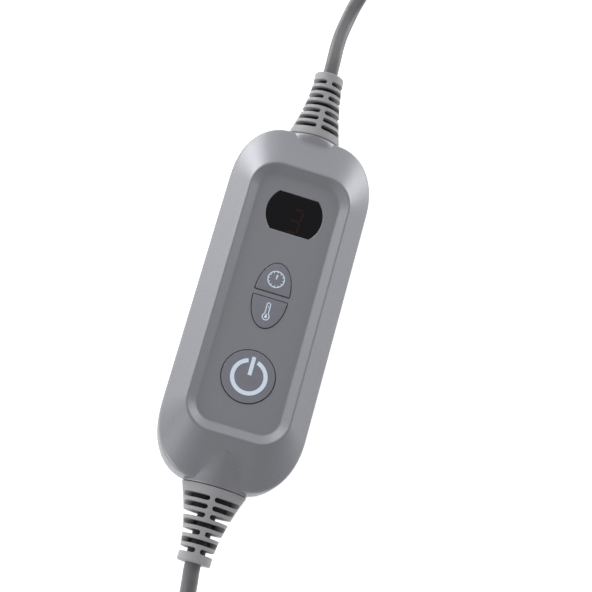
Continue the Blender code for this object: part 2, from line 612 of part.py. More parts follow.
def lying_can(name, x, y, diameter, length, spec):
    """Cylinder lying along Y under the board."""
    centre = UNDER_BOARD - diameter / 2
    ends = (y - length / 2, y - length / 2 + 0.6 * MM, y + length / 2 - 0.6 * MM, y + length / 2)
    sizes = (diameter / 2 - 0.5 * MM, diameter / 2, diameter / 2, diameter / 2 - 0.5 * MM)
    rings = [[(px + x, py, pz) for px, py, pz in section(end, radius, radius, 2.0, 14, centre)]
             for end, radius in zip(ends, sizes)]
    loft(name, rings, spec)


def make_electronics():
    """Circuit board with the parts on and under it."""
    board = loft("circuit_board", block(0.0, 0.0, BOARD_UNDERSIDE, BOARD_TOP, 2 * BOARD_HALF_WIDTH,
                                        2 * BOARD_HALF_LENGTH, 2.0 * MM), BOARD_GREEN)
    holes = [post(x, y, BOARD_UNDERSIDE - WALL, BOARD_TOP + WALL, SMALL_SCREW_SHANK + 2 * SEAT_GAP, 12)
             for x, y in BOARD_SCREWS]
    combine(board, group("board_holes", holes), "DIFFERENCE")
    chip_y = (POWER_Y + PAIR_SPLIT_Y) / 2
    loft("microcontroller", block(CHIP_X, chip_y, ON_BOARD, ON_BOARD + CHIP_HEIGHT, CHIP_WIDTH, CHIP_LENGTH,
                                  CHIP_WIDTH / 20), PART_BLACK)
    loft("buzzer", post(BUZZER_X, chip_y, ON_BOARD, ON_BOARD + BUZZER_HEIGHT, BUZZER_DIAMETER), PART_BLACK)
    terminal_y = BOARD_HALF_LENGTH - TERMINAL_FROM_END
    for cord, y, width in (("mains", terminal_y, MAINS_TERMINAL_WIDTH),
                           ("heater", -terminal_y, HEATER_TERMINAL_WIDTH)):
        hanging(f"{cord}_terminal_block", 0.0, y, width, *TERMINAL_SIZE, 0.0, TERMINAL_GREEN)
    lying_can("mains_fuse", *FUSE, WIRE_WHITE)
    hanging("surge_varistor", *VARISTOR, VARISTOR_BLUE)
    hanging("filter_capacitor", *FILTER_CAPACITOR, CAPACITOR_YELLOW)
    hanging("supply_transformer", *TRANSFORMER, CAPACITOR_YELLOW)
    lying_can("smoothing_capacitor", *SMOOTHING_CAPACITOR, PART_BLACK)
    hanging("rectifier_bridge", *RECTIFIER, PART_BLACK)
    hanging("heater_triac", *TRIAC, PART_BLACK)
    make_heat_sink(UNDER_BOARD - TRIAC_HEIGHT - SEAT_GAP)


def make_heat_sink(top):
    """Finned plate under the triac, its fins pointing to the floor of the case."""
    bottom = top - SINK_HEIGHT
    half = ((SINK_FINS - 1) * SINK_PITCH + SINK_FIN) / 2
    outline = [(half, top), (-half, top)]
    for i in range(SINK_FINS):
        left = -half + i * SINK_PITCH
        outline += [(left, bottom), (left + SINK_FIN, bottom)]
        if i < SINK_FINS - 1:
            outline += [(left + SINK_FIN, top - SINK_PLATE), (left + SINK_PITCH, top - SINK_PLATE)]
    rings = [[(x, TRIAC_Y + y, z) for x, z in outline] for y in (-SINK_LENGTH / 2, SINK_LENGTH / 2)]
    loft("heat_sink", rings, ALUMINIUM)


def relief_size(end, run):
    """Half width, half height, power and lean of a strain relief at a distance from its base."""
    taper_run = RELIEF_FIRST_SLOT + (len(RELIEF_SLOT_ROWS) - 1) * RELIEF_SLOT_PITCH + RELIEF_SLOT / 2
    share = max(1 - run / taper_run, 0.0) ** RELIEF_TAPER_POWER
    tip = RELIEF_TIP_HALF_WIDTH[end]
    base_width = NECK_HALF_WIDTH[end] - RELIEF_STEP
    base_height = NECK_HALF_HEIGHT - RELIEF_STEP
    return (tip + (base_width - tip) * share,
            RELIEF_TIP_HALF_HEIGHT + (base_height - RELIEF_TIP_HALF_HEIGHT) * share,
            2.0 - (2.0 - NECK_POWER) * share, RELIEF_LEAN[end] * (run / RELIEF_LENGTH) ** 2)


def relief_ring(y, size, slot=None):
    """Ring of a strain relief; in a slot only the bridges keep the outer size."""
    half_width, half_height, power, lean = size
    front = math.acos(min(RELIEF_BRIDGE / half_width, 0.9))
    side = math.asin(min(RELIEF_BRIDGE / half_height, 0.9))
    step = 0.06
    quarter = [(0.0, "side"), (side, "side"), (side + step, ""), ((front + side) / 2, ""), (front - step, ""),
               (front, "front")]
    angles = quarter + [(math.pi / 2, "front")] + [(math.pi - a, k) for a, k in reversed(quarter[1:])]
    angles += [(math.pi + a, kind) for a, kind in angles]
    ring = []
    for angle, kind in angles:
        c, s = math.cos(angle), math.sin(angle)
        x = half_width * math.copysign(abs(c) ** (2 / power), c)
        z = half_height * math.copysign(abs(s) ** (2 / power), s)
        if slot and kind != slot:
            core = RELIEF_CORE / math.hypot(x, z)
            x, z = x * core, z * core
        ring.append((x + lean, y, PARTING_HEIGHT + z))
    return ring


def make_relief(name, end, bore_width, bore_height):
    """Slotted, tapered strain relief with the flange that the two shells grip."""
    def ring(run, slot=None):
        return relief_ring(end * (RELIEF_START[end] + run), relief_size(end, run), slot)

    def plain(y, half_width, half_height, lean=0.0):
        return relief_ring(end * y, (half_width, half_height, 2.0, lean))

    neck_width = MOUTH_HALF_WIDTH - SEAT_GAP
    neck_height = MOUTH_HALF_HEIGHT - SEAT_GAP
    rings = [
        plain(FLANGE_START[end], FLANGE_HALF_WIDTH, FLANGE_HALF_HEIGHT),
        plain(FLANGE_END[end], FLANGE_HALF_WIDTH, FLANGE_HALF_HEIGHT),
        plain(FLANGE_END[end], neck_width, neck_height),
        plain(RELIEF_START[end], neck_width, neck_height),
        ring(0.0),
        ring(RELIEF_FIRST_SLOT / 2),
    ]
    for row, slot in enumerate(RELIEF_SLOT_ROWS):
        low = RELIEF_FIRST_SLOT + row * RELIEF_SLOT_PITCH - RELIEF_SLOT / 2
        high = low + RELIEF_SLOT
        rings += [ring(low), ring(low, slot), ring(high, slot), ring(high)]
    width, height, power, lean = relief_size(end, RELIEF_LENGTH)
    tip = RELIEF_START[end] + RELIEF_LENGTH
    bore = (bore_width / 2 + SEAT_GAP, bore_height / 2 + SEAT_GAP, lean)
    rings += [ring(RELIEF_LENGTH - RELIEF_COLLAR_ROUND),
              plain(tip, width - RELIEF_COLLAR_ROUND, height - RELIEF_COLLAR_ROUND, lean),
              plain(tip, *bore), plain(tip - BORE_DEPTH, *bore)]
    loft(name, rings, RUBBER_GREY)


def wire(name, points, diameter, spec, resolution=1):
    """Round wire through points: a poly curve with a bevel and closed ends."""
    curve = bpy.data.curves.new(name, "CURVE")
    curve.dimensions = "3D"
    curve.bevel_depth = diameter / 2
    curve.bevel_resolution = resolution
    curve.use_fill_caps = True
    spline = curve.splines.new("POLY")
    spline.points.add(len(points) - 1)
    for point, place in zip(spline.points, points):
        point.co = (*place, 1.0)
    curve.materials.append(finish(spec))
    obj = bpy.data.objects.new(name, curve)
    bpy.context.scene.collection.objects.link(obj)


def smooth_path(route, step):
    """Points about one step apart on a Catmull-Rom curve through the route."""
    knots = [Vector(point) for point in route]
    knots = [2 * knots[0] - knots[1]] + knots + [2 * knots[-1] - knots[-2]]
    path = []
    for a, b, c, d in zip(knots, knots[1:], knots[2:], knots[3:]):
        count = max(round((c - b).length / step), 1)
        for i in range(count):
            t = i / count
            path.append(0.5 * (2 * b + (c - a) * t + (2 * a - 5 * b + 4 * c - d) * t * t
                               + (3 * b - a - 3 * c + d) * t ** 3))
    return path + [knots[-2]]


def make_cord_inside(cord, end, half_width, half_height, cores):
    """Sheath from the strain relief through its clamp, and the cores on to the terminals."""
    tail_start = FLANGE_START[end] - SEAT_GAP
    tail_end = CLAMP_Y - CLAMP_WIDTH / 2 - TAIL_PAST_CLAMP
    rings = [section(end * y, half_width, half_height, 2.0, 16) for y in (tail_end, tail_start)]
    loft(f"{cord}_cord_tail", rings, CORD_GREY)
    terminal = BOARD_HALF_LENGTH - TERMINAL_FROM_END + TERMINAL_SIZE[0] / 2 + SEAT_GAP
    start = tail_end - SEAT_GAP
    for name, x, spec in cores:
        # each core leaves the sheath near the middle, drops and spreads towards its terminal
        route = [(x * 0.4, start, PARTING_HEIGHT), (x * 0.45, start - 1.6 * MM, PARTING_HEIGHT - 0.5 * MM),
                 (x * 0.8, start - 4.2 * MM, UNDER_BOARD - CORE_DROP + CORE_WIRE),
                 (x, terminal + 2.0 * MM, UNDER_BOARD - CORE_DROP + 0.2 * MM),
                 (x, terminal, UNDER_BOARD - CORE_DROP)]
        wire(name, smooth_path([(px, end * py, pz) for px, py, pz in route], 1.2 * MM), CORE_WIRE, spec)


def make_clamp(name, end, cord_half_width, cord_half_height):
    """Bridge over the cord's sheath with a screwed foot on each side."""
    inner_width = cord_half_width + SEAT_GAP
    inner_height = cord_half_height + SEAT_GAP
    foot_bottom = CLAMP_FOOT_TOP - CLAMP_FOOT
    foot_end = CLAMP_SPREAD + SMALL_SCREW_HEAD / 2 + 0.4 * MM

    def arch(grow, steps=10):
        angles = [math.pi * i / steps for i in range(steps + 1)]
        return [((inner_width + grow) * math.cos(a), PARTING_HEIGHT + (inner_height + grow) * math.sin(a))
                for a in angles]

    inner, outer = arch(0.0), arch(CLAMP_WALL)
    outline = [(inner_width, foot_bottom)] + inner + [(-inner_width, foot_bottom), (-foot_end, foot_bottom),
                                                      (-foot_end, CLAMP_FOOT_TOP)]
    outline += [(-inner_width - CLAMP_WALL, CLAMP_FOOT_TOP)] + outer[::-1]
    outline += [(inner_width + CLAMP_WALL, CLAMP_FOOT_TOP), (foot_end, CLAMP_FOOT_TOP),
                (foot_end, foot_bottom)]
    rings = [[(px, end * CLAMP_Y + py, pz) for px, pz in outline]
             for py in (-CLAMP_WIDTH / 2, CLAMP_WIDTH / 2)]
    clamp = loft(name, rings, PART_BLACK)
    holes = [post(sx * CLAMP_SPREAD, end * CLAMP_Y, foot_bottom - WALL, CLAMP_FOOT_TOP + WALL / 2,
                  SMALL_SCREW_SHANK + 2 * SEAT_GAP, 10) for sx in (1, -1)]
    combine(clamp, group(f"{name}_holes", holes), "DIFFERENCE")


def racetrack(radius, run, centre_y, z, steps=8):
    """Ring of two straight runs along Y joined by half circles."""
    angles = [math.pi * i / steps for i in range(steps + 1)]
    return [(way * radius * math.cos(a), centre_y + way * (run / 2 + radius * math.sin(a)), z)
            for way in (1, -1) for a in angles]


def hank_sizes(pitch_across, pitch_up, layers):
    """Inner radius, outer radius and height of a hank wound from a cord."""
    inner = FOLD_RADIUS - pitch_across / 2
    return inner, inner + layers[0] * pitch_across, layers[1] * pitch_up


def make_hank(name, centre_y, run, inner, outer, height):
    """Closed outer shape of the wound turns: a flat ring with straight runs."""
    bm = bmesh.new()
    rows = [[bm.verts.new(point) for point in racetrack(radius, run, centre_y, z)]
            for radius, z in ((outer, 0.0), (outer, height), (inner, height), (inner, 0.0))]
    count = len(rows[0])
    for lower, upper in zip(rows, rows[1:] + rows[:1]):
        for i in range(count):
            j = (i + 1) % count
            bm.faces.new((lower[i], lower[j], upper[j], upper[i]))
    mesh_object(name, bm, CORD_GREY)


def make_tie(name, tie_y, inner, outer, height):
    """Strap over one straight run of a hank, down to the surface on both sides."""
    near = SEAT_GAP
    far = SEAT_GAP + TIE_THICKNESS
    outline = [(outer + far, 0.0), (outer + far, height + far), (inner - far, height + far),
               (inner - far, 0.0), (inner - near, 0.0), (inner - near, height + near),
               (outer + near, height + near), (outer + near, 0.0)]
    rings = [[(-px, tie_y + py, pz) for px, pz in outline] for py in (-TIE_WIDTH / 2, TIE_WIDTH / 2)]
    loft(name, rings, TIE_BLACK)


def tapered_plug(name, rear_y, way, z, width, thickness, length, cord_half):
    """Plug or connector body: tapered relief on the cord, then a rounded flat block."""
    def ring(run, half_width, half_height, power):
        return section(rear_y + way * run, half_width, half_height, power, 20, z)

    shoulder = TAIL_RELIEF_LENGTH
    return loft(name, [
        ring(0.0, cord_half + 1.2 * MM, cord_half + 1.0 * MM, 2.0),
        ring(shoulder * 0.6, cord_half + 2.2 * MM, cord_half + 1.6 * MM, 2.2),
        ring(shoulder, width * 0.36, thickness * 0.44, 3.0),
        ring(shoulder + 5.0 * MM, width / 2, thickness / 2, 4.0),
        ring(shoulder + length - 1.2 * MM, width / 2, thickness / 2, 4.0),
        ring(shoulder + length, width / 2 - 1.0 * MM, thickness / 2 - 1.0 * MM, 4.0),
    ], RUBBER_GREY)


def end_loop(name, near_y, way, top, plug_z, diameter):
    """Cord on top of a hank: round the near fold and in to the plug, rising to the plug's axis."""
    lying = top + SEAT_GAP + diameter / 2
    route = [(x * MM, near_y + way * y * MM, lying + (plug_z - lying) * rise) for x, y, rise in END_LOOP]
    wire(name, smooth_path(route, 1.4 * diameter), diameter, CORD_GREY, 2)
    return near_y + way * (END_LOOP[-1][1] * MM + SEAT_GAP)


def make_mains_lead():
    """Flat cord from the display end: free stretch, hank, tie, plug and its two pins."""
    inner, outer, height = hank_sizes(MAINS_CORD_THICKNESS, MAINS_CORD_WIDTH, MAINS_HANK_LAYERS)
    near_y = MAINS_HANK_START + outer
    route = [tuple(value * MM for value in point) for point in MAINS_ROUTE]
    wire("mains_lead", smooth_path(route, 2.4 * MAINS_CORD_WIDTH), MAINS_CORD_WIDTH, CORD_GREY, 2)
    make_hank("mains_lead_hank", near_y + MAINS_HANK_RUN / 2, MAINS_HANK_RUN, inner, outer, height)
    make_tie("mains_hank_tie", near_y + TIE_FROM_RUN_END, inner, outer, height)
    plug_z = height + SEAT_GAP + PLUG_THICKNESS / 2
    rear = end_loop("mains_lead_end", near_y, 1, height, plug_z, MAINS_CORD_WIDTH)
    plug = tapered_plug("mains_plug", rear, 1, plug_z, PLUG_WIDTH, PLUG_THICKNESS, PLUG_LENGTH,
                        MAINS_CORD_WIDTH / 2)
    face = rear + TAIL_RELIEF_LENGTH + PLUG_LENGTH
    hole = PIN_DIAMETER / 2 + SEAT_GAP
    stacks = []
    for sx, word in ((1, "right"), (-1, "left")):
        x = sx * PIN_SPACING / 2
        stacks.append([[(x + px, py, pz) for px, py, pz in section(y, hole, hole, 2.0, 12, plug_z)]
                       for y in (face - PIN_ROOT, face + PIN_ROOT)])
        radius = PIN_DIAMETER / 2
        places = ((face - PIN_ROOT + SEAT_GAP, radius), (face + PIN_LENGTH - 1.5 * MM, radius),
                  (face + PIN_LENGTH, radius * 0.5))
        rings = [[(x + px, py, pz) for px, py, pz in section(y, size, size, 2.0, 12, plug_z)]
                 for y, size in places]
        loft(f"mains_plug_pin_{word}", rings, BRASS)
    combine(plug, group("plug_pin_sockets", stacks), "DIFFERENCE")


def make_heater_lead():
    """Round cord from the power-button end: free stretch, hank, tie and the blanket's connector."""
    inner, outer, height = hank_sizes(HEATER_CORD, HEATER_CORD, HEATER_HANK_LAYERS)
    near_y = -(HEATER_HANK_START + outer)
    route = [tuple(value * MM for value in point) for point in HEATER_ROUTE]
    wire("heater_lead", smooth_path(route, 2.4 * HEATER_CORD), HEATER_CORD, CORD_GREY, 2)
    make_hank("heater_lead_hank", near_y - HEATER_HANK_RUN / 2, HEATER_HANK_RUN, inner, outer, height)
    make_tie("heater_hank_tie", near_y - TIE_FROM_RUN_END, inner, outer, height)
    plug_z = height + SEAT_GAP + CONNECTOR_THICKNESS / 2
    rear = end_loop("heater_lead_end", near_y, -1, height, plug_z, HEATER_CORD)
    connector = tapered_plug("heater_connector", rear, -1, plug_z, CONNECTOR_WIDTH, CONNECTOR_THICKNESS,
                             CONNECTOR_LENGTH, HEATER_CORD / 2)
    face = rear - TAIL_RELIEF_LENGTH - CONNECTOR_LENGTH
    radius = CONTACT_HOLE / 2
    stacks = [[[((i - 1.5) * CONTACT_PITCH + px, py, pz)
                for px, py, pz in section(y, radius, radius, 2.0, 10, plug_z)]
               for y in (face - CONTACT_DEPTH, face + CONTACT_DEPTH)] for i in range(4)]
    combine(connector, group("connector_contacts", stacks), "DIFFERENCE")


def main():
    """Clear the scene and build every piece."""
    for obj in list(bpy.data.objects):
        bpy.data.objects.remove(obj, do_unlink=True)
    make_lower_shell()
    make_upper_shell()
    make_window()
    make_face_controls()
    make_electronics()
    make_screws()
    make_relief("mains_strain_relief", 1, MAINS_CORD_WIDTH, MAINS_CORD_WIDTH)
    make_relief("heater_strain_relief", -1, HEATER_CORD, HEATER_CORD)
    mains = (MAINS_CORD_WIDTH / 2, MAINS_CORD_THICKNESS / 2)
    heater = (HEATER_CORD / 2, HEATER_CORD / 2)
    make_cord_inside("mains", 1, *mains, [("mains_core_live", 3.0 * MM, WIRE_BROWN),
                                          ("mains_core_neutral", -3.0 * MM, WIRE_BLUE)])
    make_cord_inside("heater", -1, *heater, [("heater_core_live", 5.2 * MM, WIRE_BROWN),
                                             ("heater_core_neutral", -5.2 * MM, WIRE_BLUE),
                                             ("sensor_core", 0.0, WIRE_WHITE)])
    make_clamp("mains_cord_clamp", 1, *mains)
    make_clamp("heater_cord_clamp", -1, *heater)
    make_mains_lead()
    make_heater_lead()


main()
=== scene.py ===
"""In-line hand controller of a heated spa blanket, with its mains lead and its heater lead.

All sizes are in metres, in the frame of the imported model: X to the right of the face,
Y along the case towards the display, Z up out of the face.
"""

from __future__ import annotations

import json
import logging
import math
from dataclasses import dataclass, field
from enum import Enum
from typing import Callable, Iterable, Sequence

import bpy
import numpy as np
from mathutils import Matrix, Vector


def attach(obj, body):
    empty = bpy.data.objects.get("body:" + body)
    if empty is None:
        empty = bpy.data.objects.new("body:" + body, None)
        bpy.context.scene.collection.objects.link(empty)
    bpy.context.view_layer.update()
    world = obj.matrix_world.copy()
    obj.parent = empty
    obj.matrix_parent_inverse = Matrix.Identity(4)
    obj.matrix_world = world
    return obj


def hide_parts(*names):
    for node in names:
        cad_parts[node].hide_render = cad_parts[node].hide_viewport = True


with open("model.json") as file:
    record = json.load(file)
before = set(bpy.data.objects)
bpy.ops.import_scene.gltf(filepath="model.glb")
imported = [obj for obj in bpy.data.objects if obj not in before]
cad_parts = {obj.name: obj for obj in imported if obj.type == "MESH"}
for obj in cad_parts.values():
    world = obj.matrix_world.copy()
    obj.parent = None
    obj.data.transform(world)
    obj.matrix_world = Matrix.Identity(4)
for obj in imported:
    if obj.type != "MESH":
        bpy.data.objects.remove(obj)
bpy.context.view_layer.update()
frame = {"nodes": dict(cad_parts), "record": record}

LOG = logging.getLogger("controller")
MM = 0.001
FULL_TURN = 2 * math.pi
MAINS_CORD_WIDTH = 6.3 * MM
MAINS_CORD_THICKNESS = 3.9 * MM
HEATER_CORD = 6.6 * MM
CASE_BODY = "controller"

WEAR_PER_MOTTLE = 2.3
ROUGHNESS_SWING = 0.08
SCRATCH_SQUEEZE = 0.06
# Painted shade: the near-black that the floors of the strain reliefs' narrow slots are mixed towards.
SLOT_PAINTED_SHADE = (0.004, 0.004, 0.004, 1.0)

Array = np.ndarray
Colour = tuple[float, float, float]


# ---------------------------------------------------------------- finishes


class Pattern(Enum):
    """Relief that a finish carries besides its fine grain."""

    NONE = "none"
    WEAVE = "weave"
    BRUSHED = "brushed"


@dataclass(frozen=True)
class Finish:
    """A procedural surface: a wandering colour, a wandering roughness and a fine grain.

    Attributes:
        name: material name.
        slot: material slot of the record that the finish stands for.
        colour: mean base colour, linear.
        roughness: mean roughness.
        metallic: metallic share.
        specular: specular level.
        mottle: share by which the colour wanders to each side.
        mottle_size: size of the colour's patches.
        grain: depth of the grain.
        grain_size: size of the grain.
        pattern: relief besides the grain.
        glow: strength of emitted light in the base colour.
        recess: attribute that is 1 on the floor of a narrow slot, where painted shade mixes the colour
            towards black.
    """

    name: str
    slot: str
    colour: Colour
    roughness: float
    metallic: float = 0.0
    specular: float = 0.5
    mottle: float = 0.04
    mottle_size: float = 3.0 * MM
    grain: float = 0.01 * MM
    grain_size: float = 0.3 * MM
    pattern: Pattern = Pattern.NONE
    glow: float = 0.0
    recess: str = ""

    def material(self) -> bpy.types.Material:
        """Return the material, made once from nodes on Object coordinates."""
        full_name = f"{self.name}_surface"
        found = bpy.data.materials.get(full_name)
        if found is not None:
            return found
        material = bpy.data.materials.new(full_name)
        material.use_nodes = True
        tree = material.node_tree
        shader = tree.nodes["Principled BSDF"]
        shader.inputs["Metallic"].default_value = self.metallic
        shader.inputs["Specular IOR Level"].default_value = self.specular
        place = tree.nodes.new("ShaderNodeTexCoord").outputs["Object"]
        patches = self._noise(tree, place, self.mottle_size, 3.0)
        self._spread(tree, patches, self.colour, self.mottle, shader.inputs["Base Color"])
        # Painted shade: slot floors are darkened towards black by the recess attribute.
        if self.recess:
            self._paint_slot_shade(tree, shader.inputs["Base Color"])
        wear = self._noise(tree, place, self.mottle_size * WEAR_PER_MOTTLE, 4.0)
        self._swing(tree, wear, self.roughness, shader.inputs["Roughness"])
        height = self._noise(tree, place, self.grain_size, 2.0)
        if self.pattern is Pattern.WEAVE:
            height = self._weave(tree, place, height)
        elif self.pattern is Pattern.BRUSHED:
            height = self._brushed(tree, place)
        bump = tree.nodes.new("ShaderNodeBump")
        bump.inputs["Strength"].default_value = 1.0
        bump.inputs["Distance"].default_value = self.grain
        tree.links.new(height, bump.inputs["Height"])
        tree.links.new(bump.outputs["Normal"], shader.inputs["Normal"])
        if self.glow:
            shader.inputs["Emission Color"].default_value = (*self.colour, 1.0)
            shader.inputs["Emission Strength"].default_value = self.glow
        material.diffuse_color = (*self.colour, 1.0)
        return material

    @staticmethod
    def _noise(tree: bpy.types.NodeTree, place: bpy.types.NodeSocket, size: float,
               detail: float) -> bpy.types.NodeSocket:
        """Return a noise of patches about size across."""
        noise = tree.nodes.new("ShaderNodeTexNoise")
        noise.inputs["Scale"].default_value = 1.0 / size
        noise.inputs["Detail"].default_value = detail
        tree.links.new(place, noise.inputs["Vector"])
        return noise.outputs["Fac"]

    @staticmethod
    def _spread(tree: bpy.types.NodeTree, factor: bpy.types.NodeSocket, colour: Colour, share: float,
                target: bpy.types.NodeSocket) -> None:
        """Let the colour run from (1 - share) to (1 + share) of its mean."""
        ramp = tree.nodes.new("ShaderNodeValToRGB")
        for element, side, where in zip(ramp.color_ramp.elements, (-1, 1), (0.3, 0.7)):
            element.position = where
            element.color = (*(min(c * (1 + side * share), 1.0) for c in colour), 1.0)
        tree.links.new(factor, ramp.inputs["Fac"])
        tree.links.new(ramp.outputs["Color"], target)

    def _paint_slot_shade(self, tree: bpy.types.NodeTree, target: bpy.types.NodeSocket) -> None:
        """Paint shade into a slot's floor: mix the colour towards black by the attribute that tells the
        floor.
        """
        depth = tree.nodes.new("ShaderNodeAttribute")
        depth.attribute_name = self.recess
        painted_shade = tree.nodes.new("ShaderNodeMix")
        painted_shade.data_type = "RGBA"
        painted_shade.inputs["B"].default_value = SLOT_PAINTED_SHADE
        tree.links.new(depth.outputs["Fac"], painted_shade.inputs["Factor"])
        tree.links.new(target.links[0].from_socket, painted_shade.inputs["A"])
        tree.links.new(painted_shade.outputs["Result"], target)

    @staticmethod
    def _swing(tree: bpy.types.NodeTree, factor: bpy.types.NodeSocket, mean: float,
               target: bpy.types.NodeSocket) -> None:
        """Let the roughness swing by an even share to each side of its mean."""
        span = tree.nodes.new("ShaderNodeMapRange")
        span.inputs["To Min"].default_value = mean * (1 - ROUGHNESS_SWING)
        span.inputs["To Max"].default_value = min(mean * (1 + ROUGHNESS_SWING), 1.0)
        tree.links.new(factor, span.inputs["Value"])
        tree.links.new(span.outputs["Result"], target)

    def _weave(self, tree: bpy.types.NodeTree, place: bpy.types.NodeSocket,
               grain: bpy.types.NodeSocket) -> bpy.types.NodeSocket:
        """Return the height of crossed threads: the sum of two bands and the grain."""
        total = grain
        for direction in ("X", "Y"):
            wave = tree.nodes.new("ShaderNodeTexWave")
            wave.bands_direction = direction
            wave.inputs["Scale"].default_value = 0.3 / self.grain_size
            wave.inputs["Distortion"].default_value = 0.6
            tree.links.new(place, wave.inputs["Vector"])
            add = tree.nodes.new("ShaderNodeMath")
            add.operation = "ADD"
            tree.links.new(total, add.inputs[0])
            tree.links.new(wave.outputs["Fac"], add.inputs[1])
            total = add.outputs["Value"]
        return total

    def _brushed(self, tree: bpy.types.NodeTree, place: bpy.types.NodeSocket) -> bpy.types.NodeSocket:
        """Return the height of long fine scratches: noise squeezed across X."""
        mapping = tree.nodes.new("ShaderNodeMapping")
        mapping.inputs["Scale"].default_value = (1.0, SCRATCH_SQUEEZE, 1.0)
        tree.links.new(place, mapping.inputs["Vector"])
        return self._noise(tree, mapping.outputs["Vector"], self.grain_size, 2.0)


SHELL_PAINT = Finish("silver_grey_paint", "shell_paint", (0.285, 0.288, 0.31), 0.42, metallic=0.35,
                     mottle=0.07, mottle_size=0.4 * MM, grain=0.006 * MM, grain_size=0.28 * MM)
BUTTON_SATIN = Finish("button_satin", "button_plastic", (0.225, 0.225, 0.262), 0.46, metallic=0.1,
                      grain=0.006 * MM)
LENS_SMOKE = Finish("smoked_lens", "smoked_lens", (0.002, 0.002, 0.003), 0.10, specular=0.3,
                    grain=0.0005 * MM, grain_size=4.0 * MM)
DIGIT_RED = Finish("digit_red", "smoked_lens", (0.024, 0.002, 0.003), 0.3, specular=0.3, grain=0.001 * MM,
                   glow=0.08)
ICON_WHITE = Finish("icon_white", "button_plastic", (0.66, 0.76, 0.88), 0.5, mottle=0.02, glow=0.12,
                    grain=0.003 * MM)
# The recess attribute paints shade into the floors of this finish's slots, darkening them towards black.
RELIEF_PVC = Finish("relief_pvc", "relief_pvc", (0.36, 0.354, 0.366), 0.52, mottle=0.08,
                    mottle_size=0.5 * MM, grain=0.02 * MM, grain_size=0.35 * MM, recess="recess")
CORD_PVC = Finish("cord_pvc", "cord_pvc", (0.15, 0.148, 0.154), 0.38, grain=0.012 * MM, grain_size=0.5 * MM)
STRAP = Finish("tie_strap", "tie_strap", (0.012, 0.012, 0.014), 0.85, mottle=0.2, mottle_size=0.8 * MM,
               grain=0.12 * MM, grain_size=0.25 * MM, pattern=Pattern.WEAVE)
PIN_METAL = Finish("nickelled_brass", "pin_brass", (0.62, 0.58, 0.50), 0.24, metallic=1.0, grain=0.003 * MM,
                   grain_size=0.2 * MM, pattern=Pattern.BRUSHED)
SCREW_ZINC = Finish("zinc_plated_steel", "screw_steel", (0.55, 0.56, 0.57), 0.3, metallic=1.0,
                    grain=0.004 * MM, pattern=Pattern.BRUSHED)
BOARD_GREEN = Finish("board_green", "board_laminate", (0.02, 0.13, 0.06), 0.4, mottle=0.15)
MOULDED_BLACK = Finish("moulded_black", "component_black", (0.02, 0.02, 0.022), 0.5, mottle=0.15)
TERMINAL_GREEN = Finish("terminal_green", "terminal_green", (0.03, 0.25, 0.09), 0.5, mottle=0.08)
CERAMIC = Finish("ceramic_white", "ceramic_white", (0.70, 0.68, 0.62), 0.35)
VARISTOR_BLUE = Finish("varistor_blue", "varistor_blue", (0.03, 0.09, 0.30), 0.35)
CAPACITOR_YELLOW = Finish("capacitor_yellow", "capacitor_yellow", (0.55, 0.36, 0.04), 0.4)
TAPE_YELLOW = Finish("transformer_tape", "transformer_core", (0.50, 0.34, 0.06), 0.45)
FIN_ALUMINIUM = Finish("fin_aluminium", "aluminium_fins", (0.62, 0.63, 0.65), 0.35, metallic=1.0,
                       pattern=Pattern.BRUSHED)
CORE_BROWN = Finish("core_brown", "core_brown", (0.12, 0.045, 0.02), 0.45)
CORE_BLUE = Finish("core_blue", "core_blue", (0.02, 0.07, 0.32), 0.45)
CORE_WHITE = Finish("core_white", "core_white", (0.70, 0.70, 0.68), 0.45)
FLOOR_WHITE = Finish("studio_floor", "", (0.86, 0.86, 0.86), 0.7, mottle=0.004, mottle_size=0.3,
                     grain=0.001 * MM, glow=0.8)


# ---------------------------------------------------------------- surfaces


def superellipse(half_width: float | Array, half_height: float | Array, power: float | Array,
                 angles: Array) -> tuple[Array, Array]:
    """Points of |x/a|^p + |z/b|^p = 1, as x = a sgn(c)|c|^(2/p), z = b sgn(s)|s|^(2/p).

    Args:
        half_width: a.
        half_height: b.
        power: p.
        angles: parameter of each point, with c and s its cosine and sine.

    Returns:
        The arrays x and z.
    """
    c, s = np.cos(angles), np.sin(angles)
    return (half_width * np.sign(c) * np.abs(c) ** (2 / power),
            half_height * np.sign(s) * np.abs(s) ** (2 / power))


def around(count: int) -> Array:
    """Return count angles evenly round a full turn."""
    return np.linspace(0.0, FULL_TURN, count, endpoint=False)


def unit(vectors: Array) -> Array:
    """Return vectors (n, k) scaled to length 1."""
    return vectors / np.linalg.norm(vectors, axis=1, keepdims=True)


def reach_along(points: Array) -> Array:
    """Return how far along a polyline each of its points lies."""
    return np.concatenate([[0.0], np.cumsum(np.linalg.norm(np.diff(points, axis=0), axis=1))])


def smoothstep(value: Array) -> Array:
    """Return 3t² - 2t³ with t held between 0 and 1."""
    t = np.clip(value, 0.0, 1.0)
    return t * t * (3 - 2 * t)


def mix(a: Array, b: Array, share: float | Sequence[float] | Array) -> Array:
    """Return (1 - s) a + s b for each share s, as a stack of rings."""
    s = np.atleast_1d(np.asarray(share, float))[:, None, None]
    return (1 - s) * a + s * b


def bend(a: Array, b: Array, c: Array, steps: int = 6) -> Array:
    """Return the rings of a rounded edge from a to c with its corner at b: (1-t)²a + 2t(1-t)b + t²c."""
    t = np.linspace(0.0, 1.0, steps + 1)[:, None, None]
    return (1 - t) ** 2 * a + 2 * t * (1 - t) * b + t ** 2 * c


def rows(*stacks: Array) -> Array:
    """Join single rings (n, 3) and stacks of rings (k, n, 3) into one stack."""
    return np.concatenate([s[None] if s.ndim == 2 else s for s in stacks])


